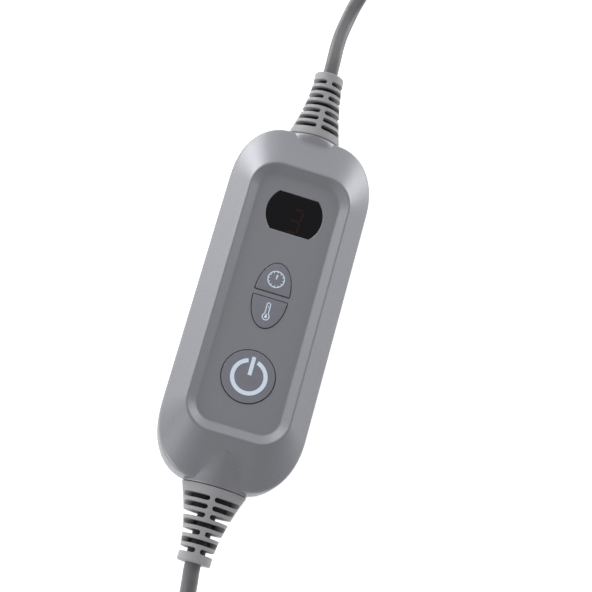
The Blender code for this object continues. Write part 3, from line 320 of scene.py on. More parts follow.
def flat_ring(x: Array, y: Array, z: float) -> Array:
    """Return the ring of points (x, y) at one height."""
    return np.stack([x, y, np.full_like(x, z)], -1)


def disc(x: float, y: float, z: float, diameter: float, count: int = 64) -> Array:
    """Return a level circle: (x + r cos a, y + r sin a, z)."""
    angles = around(count)
    return flat_ring(x + diameter / 2 * np.cos(angles), y + diameter / 2 * np.sin(angles), z)


def upright_ring(y: float, axis_z: float, half_width: float, half_height: float, power: float = 2.0,
                 count: int = 72) -> Array:
    """Return an upright superellipse ring about the point (0, y, axis_z)."""
    x, z = superellipse(half_width, half_height, power, around(count))
    return np.stack([x, np.full_like(x, y), axis_z + z], -1)


def post(x: float, y: float, low: float, high: float, diameter: float, count: int = 48) -> Array:
    """Return the two rings of an upright cylinder."""
    return rows(disc(x, y, low, diameter, count), disc(x, y, high, diameter, count))


def spline(knots: Sequence[Sequence[float]] | Array, step: float) -> Array:
    """Smooth line through knots: a cubic Hermite over chord length, with central slopes.

    p(t) = h00 a + h10 d m_a + h01 b + h11 d m_b, with d the chord between knots a and b.

    Args:
        knots: the points that it passes.
        step: distance between the points that come back.

    Returns:
        The points, shape (n, 3).
    """
    knots = np.asarray(knots, float)
    reach = reach_along(knots)
    slopes = np.gradient(knots, reach, axis=0)
    places = np.linspace(0.0, reach[-1], max(int(reach[-1] / step), 2) + 1)
    i = np.clip(np.searchsorted(reach, places, side="right") - 1, 0, len(knots) - 2)
    d = (reach[i + 1] - reach[i])[:, None]
    t = (places - reach[i])[:, None] / d
    return ((2 * t ** 3 - 3 * t ** 2 + 1) * knots[i] + (t ** 3 - 2 * t ** 2 + t) * d * slopes[i]
            + (3 * t ** 2 - 2 * t ** 3) * knots[i + 1] + (t ** 3 - t ** 2) * d * slopes[i + 1])


def resample(points: Array, step: float, *others: Array) -> list[Array]:
    """Space points evenly by arc length, and carry values along with them.

    Args:
        points: a polyline, shape (n, 3).
        step: distance between its new points.
        *others: values at the points, shape (n,).

    Returns:
        The new points, then the new values.
    """
    reach = reach_along(points)
    places = np.linspace(0.0, reach[-1], max(int(round(reach[-1] / step)), 2) + 1)
    line = np.stack([np.interp(places, reach, points[:, k]) for k in range(3)], -1)
    return [line] + [np.interp(places, reach, values) for values in others]


def tube(path: Array, profile: Array, roll: Array) -> Array:
    """Carry a profile along a path: q = p + u w + v n.

    The width axis w starts level across the path and turns by roll about it; n = t x w.

    Args:
        path: centre of each ring, shape (n, 3).
        profile: points (u, v) of one ring, shape (m, 2).
        roll: turn of each ring about the path, in radians.

    Returns:
        The rings, shape (n, m, 3).
    """
    tangent = unit(np.gradient(path, axis=0))
    level = unit(np.cross(tangent, (0.0, 0.0, 1.0)))
    normal = np.cross(level, tangent)
    c, s = np.cos(roll)[:, None], np.sin(roll)[:, None]
    width, height = c * level + s * normal, c * normal - s * level
    return path[:, None] + profile[None, :, :1] * width[:, None] + profile[None, :, 1:] * height[:, None]


def add_object(name: str, data: bpy.types.ID) -> bpy.types.Object:
    """Put an object with this data into the scene, at the origin."""
    obj = bpy.data.objects.new(name, data)
    bpy.context.scene.collection.objects.link(obj)
    return obj


class Draft:
    """Points and faces of one piece, gathered from closed grids."""

    def __init__(self) -> None:
        """Start with nothing."""
        self.points: list[Array] = []
        self.faces: list[list[int]] = []
        self.count = 0

    def solid(self, rings: Array, wrap: bool = False) -> Draft:
        """Add a closed body from a stack of rings, its ends capped unless the stack wraps round.

        The faces are turned outwards: the sum of a . (b x c) over them is made positive.

        Args:
            rings: shape (n, m, 3).
            wrap: the last ring joins the first.

        Returns:
            The draft itself.
        """
        n, m = rings.shape[:2]
        i, j = np.meshgrid(np.arange(n if wrap else n - 1), np.arange(m), indexing="ij")
        up, along = (i + 1) % n, (j + 1) % m
        quads = np.stack([i * m + j, i * m + along, up * m + along, up * m + j], -1).reshape(-1, 4)
        flat = rings.reshape(-1, 3)
        a, b, c, d = (flat[quads[:, k]] - flat.mean(0) for k in range(4))
        volume = np.einsum("ij,ij->", a, np.cross(b, c)) + np.einsum("ij,ij->", a, np.cross(c, d))
        faces = quads.tolist()
        if not wrap:
            first, last = list(range(m))[::-1], list(range((n - 1) * m, n * m))
            faces += [first, last]
            for cap in (first, last):
                p = flat[cap] - flat.mean(0)
                hub = np.broadcast_to(p[0], p[1:-1].shape)
                volume += np.einsum("ij,ij->", hub, np.cross(p[1:-1], p[2:]))
        shift = self.count
        self.faces += [[k + shift for k in (face if volume > 0 else face[::-1])] for face in faces]
        self.points.append(flat)
        self.count += len(flat)
        return self

    def solids(self, stacks: Iterable[Array]) -> Draft:
        """Add a closed body from each stack of rings."""
        for rings in stacks:
            self.solid(rings)
        return self

    def object(self, name: str) -> bpy.types.Object:
        """Return the gathered mesh as an object at the origin."""
        mesh = bpy.data.meshes.new(name)
        mesh.from_pydata(np.concatenate(self.points).tolist(), [], self.faces)
        mesh.update()
        return add_object(name, mesh)


def carve(piece: bpy.types.Object, operation: str, *cutters: bpy.types.Object) -> None:
    """Join or cut bodies with an exact Boolean, keep the result and drop the operands.

    Args:
        piece: the body that is changed.
        operation: UNION or DIFFERENCE.
        *cutters: the operands.
    """
    for cutter in cutters:
        modifier = piece.modifiers.new("carve", "BOOLEAN")
        modifier.operation, modifier.object, modifier.solver = operation, cutter, "EXACT"
    depsgraph = bpy.context.evaluated_depsgraph_get()
    mesh = bpy.data.meshes.new_from_object(piece.evaluated_get(depsgraph))
    piece.modifiers.clear()
    piece.data = mesh
    for cutter in cutters:
        bpy.data.objects.remove(cutter, do_unlink=True)


def finished(piece: bpy.types.Object, finish: Finish, body: str, nodes: Sequence[str] = (),
             crease: float = 32.0, weighted: bool = False) -> bpy.types.Object:
    """Give a piece its finish, its shading and its body.

    Args:
        piece: the object.
        finish: its surface.
        body: the CAD body that it rides on.
        nodes: the CAD nodes that it stands for.
        crease: edges that turn more than this many degrees stay sharp.
        weighted: large faces keep their own normal.

    Returns:
        The object.
    """
    mesh = piece.data
    mesh.materials.clear()
    mesh.materials.append(finish.material())
    mesh.polygons.foreach_set("material_index", np.zeros(len(mesh.polygons), np.int32))
    mesh.shade_smooth()
    mesh.set_sharp_from_angle(angle=math.radians(crease))
    if weighted:
        modifier = piece.modifiers.new("weighted_normals", "WEIGHTED_NORMAL")
        modifier.keep_sharp = True
        modifier.weight = 80
    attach(piece, body)
    if nodes:
        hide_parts(*nodes)
    LOG.info("%s: %d faces on %s", piece.name, len(mesh.polygons), body)
    return piece


# ---------------------------------------------------------------- case


@dataclass
class CaseSizes:
    """Sizes that the shells, the reliefs and the controls share."""

    half_width: float = 30.0 * MM
    half_length: float = 76.8 * MM
    parting: float = 13.0 * MM
    face: float = 24.0 * MM
    ridge: float = 26.1 * MM
    rim: float = 17.4 * MM
    wall: float = 2.2 * MM
    gap: float = 0.3 * MM
    corner_across: float = 20.0 * MM
    corner_along: float = 27.0 * MM
    corner_power: float = 2.15
    ridge_corner: float = 12.0 * MM
    ridge_half_width: float = 21.4 * MM
    ridge_half_length: float = 58.3 * MM
    dish: float = 4.0 * MM
    neck_end: dict[int, float] = field(default_factory=lambda: {1: 77.1 * MM, -1: 77.9 * MM})
    neck_half_width: dict[int, float] = field(default_factory=lambda: {1: 11.6 * MM, -1: 13.6 * MM})
    neck_half_height: float = 7.0 * MM
    neck_power: float = 1.6
    mouth_half_width: float = 9.5 * MM
    mouth_half_height: float = 5.4 * MM
    flange_half_width: float = 10.0 * MM
    flange_half_height: float = 5.8 * MM
    flange_depth: float = 1.6 * MM
    relief_length: float = 30.3 * MM
    corner_steps: int = 28

    def corner_ring(self, half_width: float, half_length: float, across: float, along: float, power: float,
                    z: float) -> Array:
        """Ring of a rectangle whose corners are superellipse quarters.

        x = W - A + A cos(a)^(2/p), y = L - B + B sin(a)^(2/p), repeated in the four quadrants.

        Args:
            half_width: W.
            half_length: L.
            across: A, the corner's reach along X.
            along: B, the corner's reach along Y.
            power: p.
            z: height of the ring.

        Returns:
            The ring, shape (4 (steps + 1), 3).
        """
        angles = np.linspace(0.0, math.pi / 2, self.corner_steps + 1)
        x, y = superellipse(across, along, power, angles)
        x, y = np.maximum(x, 0.0) + half_width - across, np.maximum(y, 0.0) + half_length - along
        return flat_ring(np.concatenate([x, -x[::-1], -x, x[::-1]]),
                         np.concatenate([y, y[::-1], -y, -y[::-1]]), z)

    def outer(self, inset: float, z: float) -> Array:
        """Ring of the side wall, moved in by inset."""
        return self.corner_ring(self.half_width - inset, self.half_length - inset, self.corner_across - inset,
                                self.corner_along - inset, self.corner_power, z)

    def panel(self, inset: float, z: float) -> Array:
        """Ring on the face, moved in from the ridge by inset."""
        radius = self.ridge_corner - inset
        return self.corner_ring(self.ridge_half_width - inset, self.ridge_half_length - inset, radius,
                                radius, 2.0, z)

    def upright(self, y: float, half_width: float, half_height: float, count: int = 72) -> Array:
        """Upright elliptic ring about the cord's axis, at one place along the case."""
        return upright_ring(y, self.parting, half_width, half_height, 2.0, count)

    def relief_start(self, end: int) -> float:
        """Distance from the case's middle at which a strain relief shows."""
        return self.neck_end[end] + self.gap


@dataclass
class Case:
    """The two shells with their necks, the recesses below and the screws in them."""

    sizes: CaseSizes
    rim_round: float = 0.9 * MM
    ridge_crest: float = 0.06 * MM
    dish_round: float = 0.5 * MM
    wall_drop: float = 0.7
    base_round: float = 3.5 * MM
    edge_round: float = 0.22 * MM
    draught: float = 0.25 * MM
    floor_wall: float = 2.5 * MM
    ceiling_across: float = 7.9 * MM
    ceiling_along: float = 15.6 * MM
    pocket_half_width: float = 10.3 * MM
    pocket_half_height: float = 6.1 * MM
    neck_run: float = 14.0 * MM
    neck_round: float = 0.25 * MM
    neck_flare: dict[int, float] = field(default_factory=lambda: {1: 1.2 * MM, -1: 1.3 * MM})
    neck_flare_run: float = 1.1 * MM
    neck_rise: dict[int, float] = field(default_factory=lambda: {1: 0.0, -1: 0.52})
    neck_inner_power: dict[int, float] = field(default_factory=lambda: {1: 2.6, -1: 1.8})
    screw_x: float = 21.5 * MM
    screw_y: float = 46.0 * MM
    recess: float = 4.5 * MM
    screw_post: float = 7.2 * MM
    screw_bore: float = 3.2 * MM
    head: float = 5.0 * MM
    head_height: float = 1.8 * MM
    head_dome: float = 0.55 * MM
    shank: float = 2.6 * MM
    shank_length: float = 13.5 * MM
    thread_pitch: float = 0.9 * MM
    thread_depth: float = 0.28 * MM

    def _neck(self, end: int, upper: bool) -> Array:
        """Half arch round a cord entry, flat along the parting line.

        Its section is half a superellipse of half width W - F (1 - e^(-run / R)), so that it flares out
        towards its end; its power and its crown change inwards too, and the end edge is rounded off.

        Args:
            end: 1 at the display end, -1 at the other.
            upper: the half above the parting line.

        Returns:
            The rings from the outer end inwards.
        """
        s, side = self.sizes, 1 if upper else -1
        run = self.neck_run if upper else s.flange_depth + s.wall
        angles = np.linspace(0.0, math.pi, 49)
        places = np.array([0.0, 0.08, 0.25, 0.5, 0.8, 1.15, 1.6, 2.1, 2.7, 3.4, run / MM]) * MM
        rings = []
        for place in places:
            cut = self.neck_round * (1 - math.sin(min(place / self.neck_round, 1.0) * math.pi / 2))
            inner = 1 - math.exp(-place / self.neck_flare_run)
            half_width = s.neck_half_width[end] - self.neck_flare[end] * inner - cut
            half_height = (s.neck_half_height - cut) * (1 + self.neck_rise[end] * upper * place / run)
            power = s.neck_power + (self.neck_inner_power[end] - s.neck_power) * inner
            x, z = superellipse(half_width, half_height, power, angles)
            height = np.maximum(z - s.gap / 2, 0.0)
            rings.append(np.stack([x, np.full_like(x, end * (s.neck_end[end] - place)),
                                   s.parting + side * (s.gap / 2 + height)], -1))
        return np.stack(rings)

    def _mouths(self) -> bpy.types.Object:
        """Openings that grip the strain reliefs, with the pockets behind them."""
        s = self.sizes
        pockets, mouths = Draft(), Draft()
        for end in (1, -1):
            inside, outside = s.neck_end[end] - s.wall, s.neck_end[end] + s.wall
            pockets.solid(rows(*(s.upright(end * y, self.pocket_half_width, self.pocket_half_height)
                                 for y in (inside - self.neck_run, inside))))
            mouths.solid(rows(*(s.upright(end * y, s.mouth_half_width, s.mouth_half_height)
                                for y in (inside - s.flange_depth, outside))))
        cutter = pockets.object("pockets")
        carve(cutter, "UNION", mouths.object("mouths"))
        return cutter

    def upper(self, openings: bpy.types.Object) -> bpy.types.Object:
        """Build the cover: wall, rim, slopes, ridge, dished face, necks and openings."""
        s = self.sizes
        foot, edge = s.parting + s.gap / 2, self.edge_round
        ridge_top = s.ridge + self.ridge_crest
        rim, ridge, face = s.outer(0.0, s.rim), s.panel(0.0, ridge_top), s.panel(s.dish, s.face)
        slope_from, slope_to, dish_from, dish_to = 0.075, 0.95, 0.13, 0.9
        ceiling_corner = s.ridge_corner + s.wall
        ceiling = s.corner_ring(s.half_width - self.ceiling_across, s.half_length - self.ceiling_along,
                                ceiling_corner, ceiling_corner, 2.0, s.face - s.wall)
        stack = rows(
            ceiling, s.outer(s.wall, s.rim - self.wall_drop * s.wall), s.outer(s.wall, foot),
            bend(s.outer(edge, foot), s.outer(0.0, foot), s.outer(0.0, foot + edge), 3),
            bend(s.outer(0.0, s.rim - self.rim_round), rim, mix(rim, ridge, slope_from)[0], 6),
            mix(rim, ridge, np.linspace(slope_from, slope_to, 9))[1:-1],
            bend(mix(rim, ridge, slope_to)[0], ridge, mix(ridge, face, dish_from)[0], 7),
            mix(ridge, face, np.linspace(dish_from, dish_to, 5))[1:-1],
            bend(mix(ridge, face, dish_to)[0], face, s.panel(s.dish + self.dish_round, s.face), 5),
        )
        shell = Draft().solid(stack).object("cover_shell")
        for end in (1, -1):
            carve(shell, "UNION", Draft().solid(self._neck(end, True)).object("neck"))
        carve(shell, "DIFFERENCE", self._mouths())
        carve(shell, "DIFFERENCE", openings)
        return finished(shell, SHELL_PAINT, CASE_BODY, ["upper_shell"], weighted=True)

    def lower(self) -> bpy.types.Object:
        """Build the tray: rounded base, side wall, lower necks and screw recesses."""
        s = self.sizes
        top, edge, draught, base = s.parting - s.gap / 2, self.edge_round, self.draught, self.base_round
        stack = rows(
            s.outer(s.wall + base / 2, self.floor_wall), s.outer(s.wall, self.floor_wall + base / 2),
            s.outer(s.wall, top),
            bend(s.outer(edge, top), s.outer(0.0, top), s.outer(0.0, top - edge), 3),
            bend(s.outer(draught, base), s.outer(draught, 0.0), s.outer(draught + base, 0.0), 10),
        )
        shell = Draft().solid(stack).object("tray_shell")
        for end in (1, -1):
            carve(shell, "UNION", Draft().solid(self._neck(end, False)).object("neck"))
        places = [(sx * self.screw_x, sy * self.screw_y) for sx in (1, -1) for sy in (1, -1)]
        posts = Draft().solids(post(x, y, self.floor_wall / 2, top, self.screw_post) for x, y in places)
        carve(shell, "UNION", posts.object("screw_posts"))
        # Height, and room round the screw's head: the mouth flares out to the underside.
        well = ((-s.wall, 2.2 * MM), (-0.001 * MM, 1.4 * MM), (0.4 * MM, 0.6 * MM), (self.recess, 0.6 * MM))
        wells = Draft().solids(rows(*(disc(x, y, z, self.head + room) for z, room in well))
                               for x, y in places)
        bores = Draft().solids(post(x, y, self.recess - s.wall / 2, top + s.wall, self.screw_bore, 24)
                               for x, y in places)
        carve(shell, "DIFFERENCE", bores.object("bores"))
        carve(shell, "DIFFERENCE", wells.object("wells"))
        carve(shell, "DIFFERENCE", self._mouths())
        return finished(shell, SHELL_PAINT, CASE_BODY, ["lower_shell"], weighted=True)

    def screws(self) -> list[bpy.types.Object]:
        """Build the four case screws: domed head with a cross recess, shank with a thread."""
        return [self._screw(f"case_screw_{end}_{side}", sx * self.screw_x, sy * self.screw_y)
                for sx, side in ((1, "right"), (-1, "left")) for sy, end in ((1, "display"), (-1, "power"))]

    def _screw(self, node: str, x: float, y: float) -> bpy.types.Object:
        """Build one screw that points up from its recess.

        The shank's thread is r = r0 + h |saw(z / pitch - a / 2pi)|, a helix of constant pitch.

        Args:
            node: CAD node that it stands for.
            x: its axis.
            y: its axis.

        Returns:
            The screw.
        """
        seat, length, shank = self.recess - self.sizes.gap, self.shank_length, self.shank
        head_low = seat - self.head_height
        crown = np.sin(np.linspace(0.12, math.pi / 2, 9))
        head = np.stack([disc(x, y, head_low + self.head_dome * (1 - math.sqrt(max(1 - c * c, 0.0))),
                              self.head * c, 48) for c in crown])
        angles, heights = around(48), np.linspace(0.3 * MM, length - 1.2 * MM, 120)[:, None]
        phase = (heights / self.thread_pitch - angles[None] / FULL_TURN) % 1.0
        radius = shank / 2 - self.thread_depth * np.abs(2 * phase - 1) ** 1.5
        thread = np.stack([x + radius * np.cos(angles), y + radius * np.sin(angles),
                           seat + np.broadcast_to(heights, radius.shape)], -1)
        stack = rows(head, disc(x, y, seat, self.head, 48), disc(x, y, seat, shank - 0.5 * MM, 48), thread,
                     disc(x, y, seat + length, shank * 0.3, 48))
        screw = Draft().solid(stack).object(f"{node}_detail")
        blades = []
        # Height, half length and half width of a blade of the cross, below the head and at its bottom.
        levels = ((head_low - 0.5 * MM, 1.45 * MM, 0.36 * MM), (head_low + 1.2 * MM, 0.55 * MM, 0.22 * MM))
        signs = ((1, 1), (-1, 1), (-1, -1), (1, -1))
        for turn in (0.0, math.pi / 2):
            u, v = np.array([math.cos(turn), math.sin(turn)]), np.array([-math.sin(turn), math.cos(turn)])
            blade = []
            for z, long, thick in levels:
                corners = np.array([a * long * u + b * thick * v for a, b in signs])
                blade.append(flat_ring(x + corners[:, 0], y + corners[:, 1], z))
            blades.append(Draft().solid(np.stack(blade)).object("blade"))
        carve(screw, "DIFFERENCE", *blades)
        return finished(screw, SCREW_ZINC, CASE_BODY, [node], crease=40)


# ---------------------------------------------------------------- face controls


@dataclass
class Outline:
    """Closed outline on the face that can grow or shrink evenly.

    Attributes:
        centre_y: middle of the outline, towards which a crowned top closes.
        make: function from a growth and a height to a ring.
    """

    centre_y: float
    make: Callable[[float, float], Array]


@dataclass
class FaceControls:
    """Window, three buttons, their icons and the openings that they sit in."""

    sizes: CaseSizes
    window_y: float = 38.7 * MM
    window_diameter: float = 24.0 * MM
    window_height: float = 17.2 * MM
    split_y: float = 2.4 * MM
    bar: float = 2.05 * MM
    pair_half_width: float = 7.5 * MM
    pair_length: float = 13.3 * MM
    power_y: float = -32.7 * MM
    power_diameter: float = 22.3 * MM
    slide_gap: float = 0.3 * MM
    proud: float = 0.3 * MM
    lip: float = 0.8 * MM
    edge: float = 0.28 * MM
    lens_recess: float = 0.15 * MM
    lens_fit: float = 0.1 * MM
    lens_round: float = 0.25 * MM
    plunger_top: float = 19.2 * MM
    stem: float = 4.0 * MM
    stem_root: float = 0.2 * MM
    crown: float = 0.1 * MM
    print_height: float = 0.125 * MM

    def window_outline(self, grow: float, z: float) -> Array:
        """Circle cut by two flats, both grown: x = +-R cos a, y = +-R sin a, with |a| < asin(H / R)."""
        radius, flat = self.window_diameter / 2 + grow, self.window_height / 2 + grow
        a = np.linspace(-1, 1, 41) * math.asin(flat / radius)
        x, y = radius * np.cos(a), radius * np.sin(a)
        return flat_ring(np.concatenate([x, -x]), self.window_y + np.concatenate([y, -y]), z)

    def pair_outline(self, towards: int, grow: float, z: float) -> Array:
        """Half an ellipse on a straight edge: x = W cos a, y = e + t L sin a, with a from 0 to pi."""
        a = np.linspace(0.0, math.pi, 65)
        edge = self.split_y + towards * (self.bar / 2 - grow)
        return flat_ring((self.pair_half_width + grow) * np.cos(a),
                         edge + towards * (self.pair_length + 2 * grow) * np.sin(a), z)

    def power_outline(self, grow: float, z: float) -> Array:
        """Circle of the power button."""
        return disc(0.0, self.power_y, z, self.power_diameter + 2 * grow, 128)

    def _outlines(self) -> dict[str, Outline]:
        """Outlines of the three buttons by name."""
        middle = self.bar / 2 + self.pair_length * 0.42
        return {
            "timer": Outline(self.split_y + middle, lambda g, z: self.pair_outline(1, g, z)),
            "temperature": Outline(self.split_y - middle, lambda g, z: self.pair_outline(-1, g, z)),
            "power": Outline(self.power_y, self.power_outline),
        }

    def openings(self) -> bpy.types.Object:
        """Cutters of the four openings: straight walls whose top edge is rounded outwards."""
        s, r = self.sizes, self.edge
        draft = Draft()
        outlines = [self.window_outline] + [outline.make for outline in self._outlines().values()]
        for make in outlines:
            wall, corner, lip = make(0.0, s.face - r), make(0.0, s.face), make(r, s.face + 0.004 * MM)
            draft.solid(rows(make(0.0, s.face - 2 * s.wall), bend(wall, corner, lip, 5),
                             make(r, s.face + s.wall)))
        return draft.object("openings")

    def window(self) -> list[bpy.types.Object]:
        """Build the smoked lens with its holding lip, and the digit behind it."""
        s = self.sizes
        top, lip_top, fit = s.face - self.lens_recess, s.face - s.wall - s.gap, -self.lens_fit
        ring = self.window_outline
        stack = rows(ring(self.lip, lip_top - self.lip), ring(self.lip, lip_top), ring(fit, lip_top),
                     bend(ring(fit, top - 0.2 * MM), ring(fit, top), ring(fit - self.lens_round, top), 5))
        lens = Draft().solid(stack).object("window_lens")
        return [finished(lens, LENS_SMOKE, CASE_BODY, ["display_window"], weighted=True), self._digit(top)]

    def _digit(self, z: float) -> bpy.types.Object:
        """Draw the lit segments of one digit, slanted a little, as thin inlays on the lens."""
        wide, high, middle = 2.1 * MM, 5.1 * MM, np.array([1.1 * MM, 36.1 * MM])
        thick, slant, parted = 0.75 * MM, 0.09, 0.1
        bars = [((-wide, y), (wide, y)) for y in (high, 0.0, -high)]
        segments = bars + [((wide, 0.0), (wide, high)), ((wide, -high), (wide, 0.0))]
        draft = Draft()
        for start, stop in segments:
            a, b = np.array(start), np.array(stop)
            ends = np.array([a + (b - a) * parted, b - (b - a) * parted])
            ends[:, 0] += slant * ends[:, 1]
            draft.solid(stroke(ends + middle, thick, z - 0.1 * MM, z + 0.012 * MM))
        return finished(draft.object("display_digit"), DIGIT_RED, CASE_BODY)

    def buttons(self) -> list[bpy.types.Object]:
        """Build the three caps: lip, wall, rounded edge, and a crown that rises evenly to the middle."""
        s, made = self.sizes, []
        top, lip_top = s.face + self.proud, s.face - s.wall - s.gap
        lip_foot = lip_top - self.lip - self.stem_root
        shares = np.linspace(0.0, 0.97, 8)[1:]
        for word, outline in self._outlines().items():
            ring, fit = outline.make, -self.slide_gap
            edge = ring(fit - self.edge, top)
            middle = np.broadcast_to(np.array([0.0, outline.centre_y, top + self.crown]), edge.shape)
            crown = mix(edge, middle, shares)
            crown[..., 2] = (top + self.crown * (1 - (1 - shares) ** 2))[:, None]
            stem = [disc(0.0, outline.centre_y, z, self.stem, len(edge))
                    for z in (self.plunger_top, lip_foot)]
            stack = rows(*stem, ring(self.lip, lip_foot), ring(self.lip, lip_top), ring(fit, lip_top),
                         bend(ring(fit, top - self.edge), ring(fit, top), edge, 6), crown)
            cap = Draft().solid(stack).object(f"{word}_cap")
            made.append(finished(cap, BUTTON_SATIN, f"{word}_key", [f"{word}_button"], weighted=True))
        return made

    def icons(self) -> list[bpy.types.Object]:
        """Build the clock, the thermometer and the power sign, printed on the caps."""
        top = self.sizes.face + self.proud
        low, high = top - self.crown, top + self.print_height
        clock = self._clock(0.1 * MM, 9.5 * MM, low, high)
        thermometer = self._thermometer(0.1 * MM, -6.85 * MM, low, high)
        power = self._power(0.25 * MM, self.power_y - 0.1 * MM, low, high)
        return [finished(draft.object(f"{word}_icon"), ICON_WHITE, f"{word}_key")
                for word, draft in (("timer", clock), ("temperature", thermometer), ("power", power))]

    @staticmethod
    def _clock(x: float, y: float, low: float, high: float) -> Draft:
        """Dial: a ring, twelve ticks that point inwards and one tapered hand."""
        radius, ring_width, tick_width, tick = 3.42 * MM, 0.42 * MM, 0.3 * MM, (3.35 * MM, 2.62 * MM)
        centre, draft, a = np.array([x, y]), Draft(), around(72)
        dial = centre + radius * np.stack([np.cos(a), np.sin(a)], -1)
        draft.solid(closed_stroke(dial, ring_width, low, high), wrap=True)
        for turn in around(12):
            ends = centre + np.outer(tick, (math.sin(turn), math.cos(turn)))
            draft.solid(stroke(ends, tick_width, low, high - 0.005 * MM))
        hand = centre + np.array([(0.1, 1.95), (0.0, -0.1)]) * MM
        draft.solid(stroke(hand, np.array([0.75, 0.32]) * MM, low, high - 0.008 * MM))
        return draft

    @staticmethod
    def _thermometer(x: float, y: float, low: float, high: float) -> Draft:
        """Outlined tube that runs into a round bulb, with a drop in the bulb and a line in the tube."""
        tube_half, bulb, top_y, stroke_width, drop = 0.72 * MM, 1.42 * MM, 5.2 * MM, 0.4 * MM, 0.66 * MM
        join = math.asin(tube_half / bulb)
        bottom = np.linspace(math.pi / 2 + join, 2.5 * math.pi - join, 41)
        cap = np.linspace(0.0, math.pi, 17)
        line = np.concatenate([
            np.stack([bulb * np.cos(bottom), bulb * np.sin(bottom)], -1),
            np.stack([tube_half * np.cos(cap), top_y + tube_half * np.sin(cap)], -1)])
        draft = Draft()
        draft.solid(closed_stroke(line + (x, y), stroke_width, low, high), wrap=True)
        a = around(40)
        lifted = np.clip(np.sin(a), 0, 1)
        px, py = drop * np.cos(a) * (1 - 0.55 * lifted), drop * np.sin(a) * (1 + 1.1 * lifted ** 3)
        draft.solid(rows(flat_ring(x + px, y + py, low), flat_ring(x + px, y + py, high - 0.005 * MM)))
        level = np.array([(0.05, 4.9), (0.05, 3.6)]) * MM + (x, y)
        draft.solid(stroke(level, 0.16 * MM, low, high - 0.01 * MM))
        return draft

    @staticmethod
    def _power(x: float, y: float, low: float, high: float) -> Draft:
        """Power sign: a ring with a gap at the top and a bar through the gap."""
        radius, ring_width, bar_width = 6.75 * MM, 1.7 * MM, 1.6 * MM
        half_gap = math.asin(1.9 * MM / radius)
        a = np.linspace(math.pi / 2 + half_gap, 2.5 * math.pi - half_gap, 120)
        arc = np.stack([x + radius * np.cos(a), y + radius * np.sin(a)], -1)
        bar = np.array([(0.0, 8.45), (0.0, 0.75)]) * MM + (x, y)
        return Draft().solid(stroke(arc, ring_width, low, high)).solid(stroke(bar, bar_width, low, high))


def band(line: Array, ahead: Array, width: float | Array, low: float, high: float) -> Array:
    """Flat band about a line: its section is the rectangle width x (high - low), across the line.

    Args:
        line: points (x, y).
        ahead: direction of the line at each point, of any length.
        width: one width, or one at each point.
        low: underside.
        high: top.

    Returns:
        The rings across the band, shape (n, 4, 3).
    """
    half = np.broadcast_to(np.asarray(width, float) / 2, (len(line),))[:, None]
    tangent = unit(ahead)
    normal = np.stack([-tangent[:, 1], tangent[:, 0]], -1)
    left, right = line + normal * half, line - normal * half
    return np.stack([np.column_stack([p, np.full(len(line), z)])
                     for p, z in ((left, low), (right, low), (right, high), (left, high))], 1)


def stroke(line: Array, width: float | Array, low: float, high: float) -> Array:
    """Flat band along an open line."""
    return band(line, np.gradient(line, axis=0), width, low, high)


def closed_stroke(line: Array, width: float, low: float, high: float) -> Array:
    """Flat band along a closed line."""
    return band(line, np.roll(line, -1, 0) - np.roll(line, 1, 0), width, low, high)


# ---------------------------------------------------------------- strain reliefs


class Bridge(Enum):
    """Where a row of slots keeps its bridges."""

    FACE = "above and below"
    SIDE = "left and right"


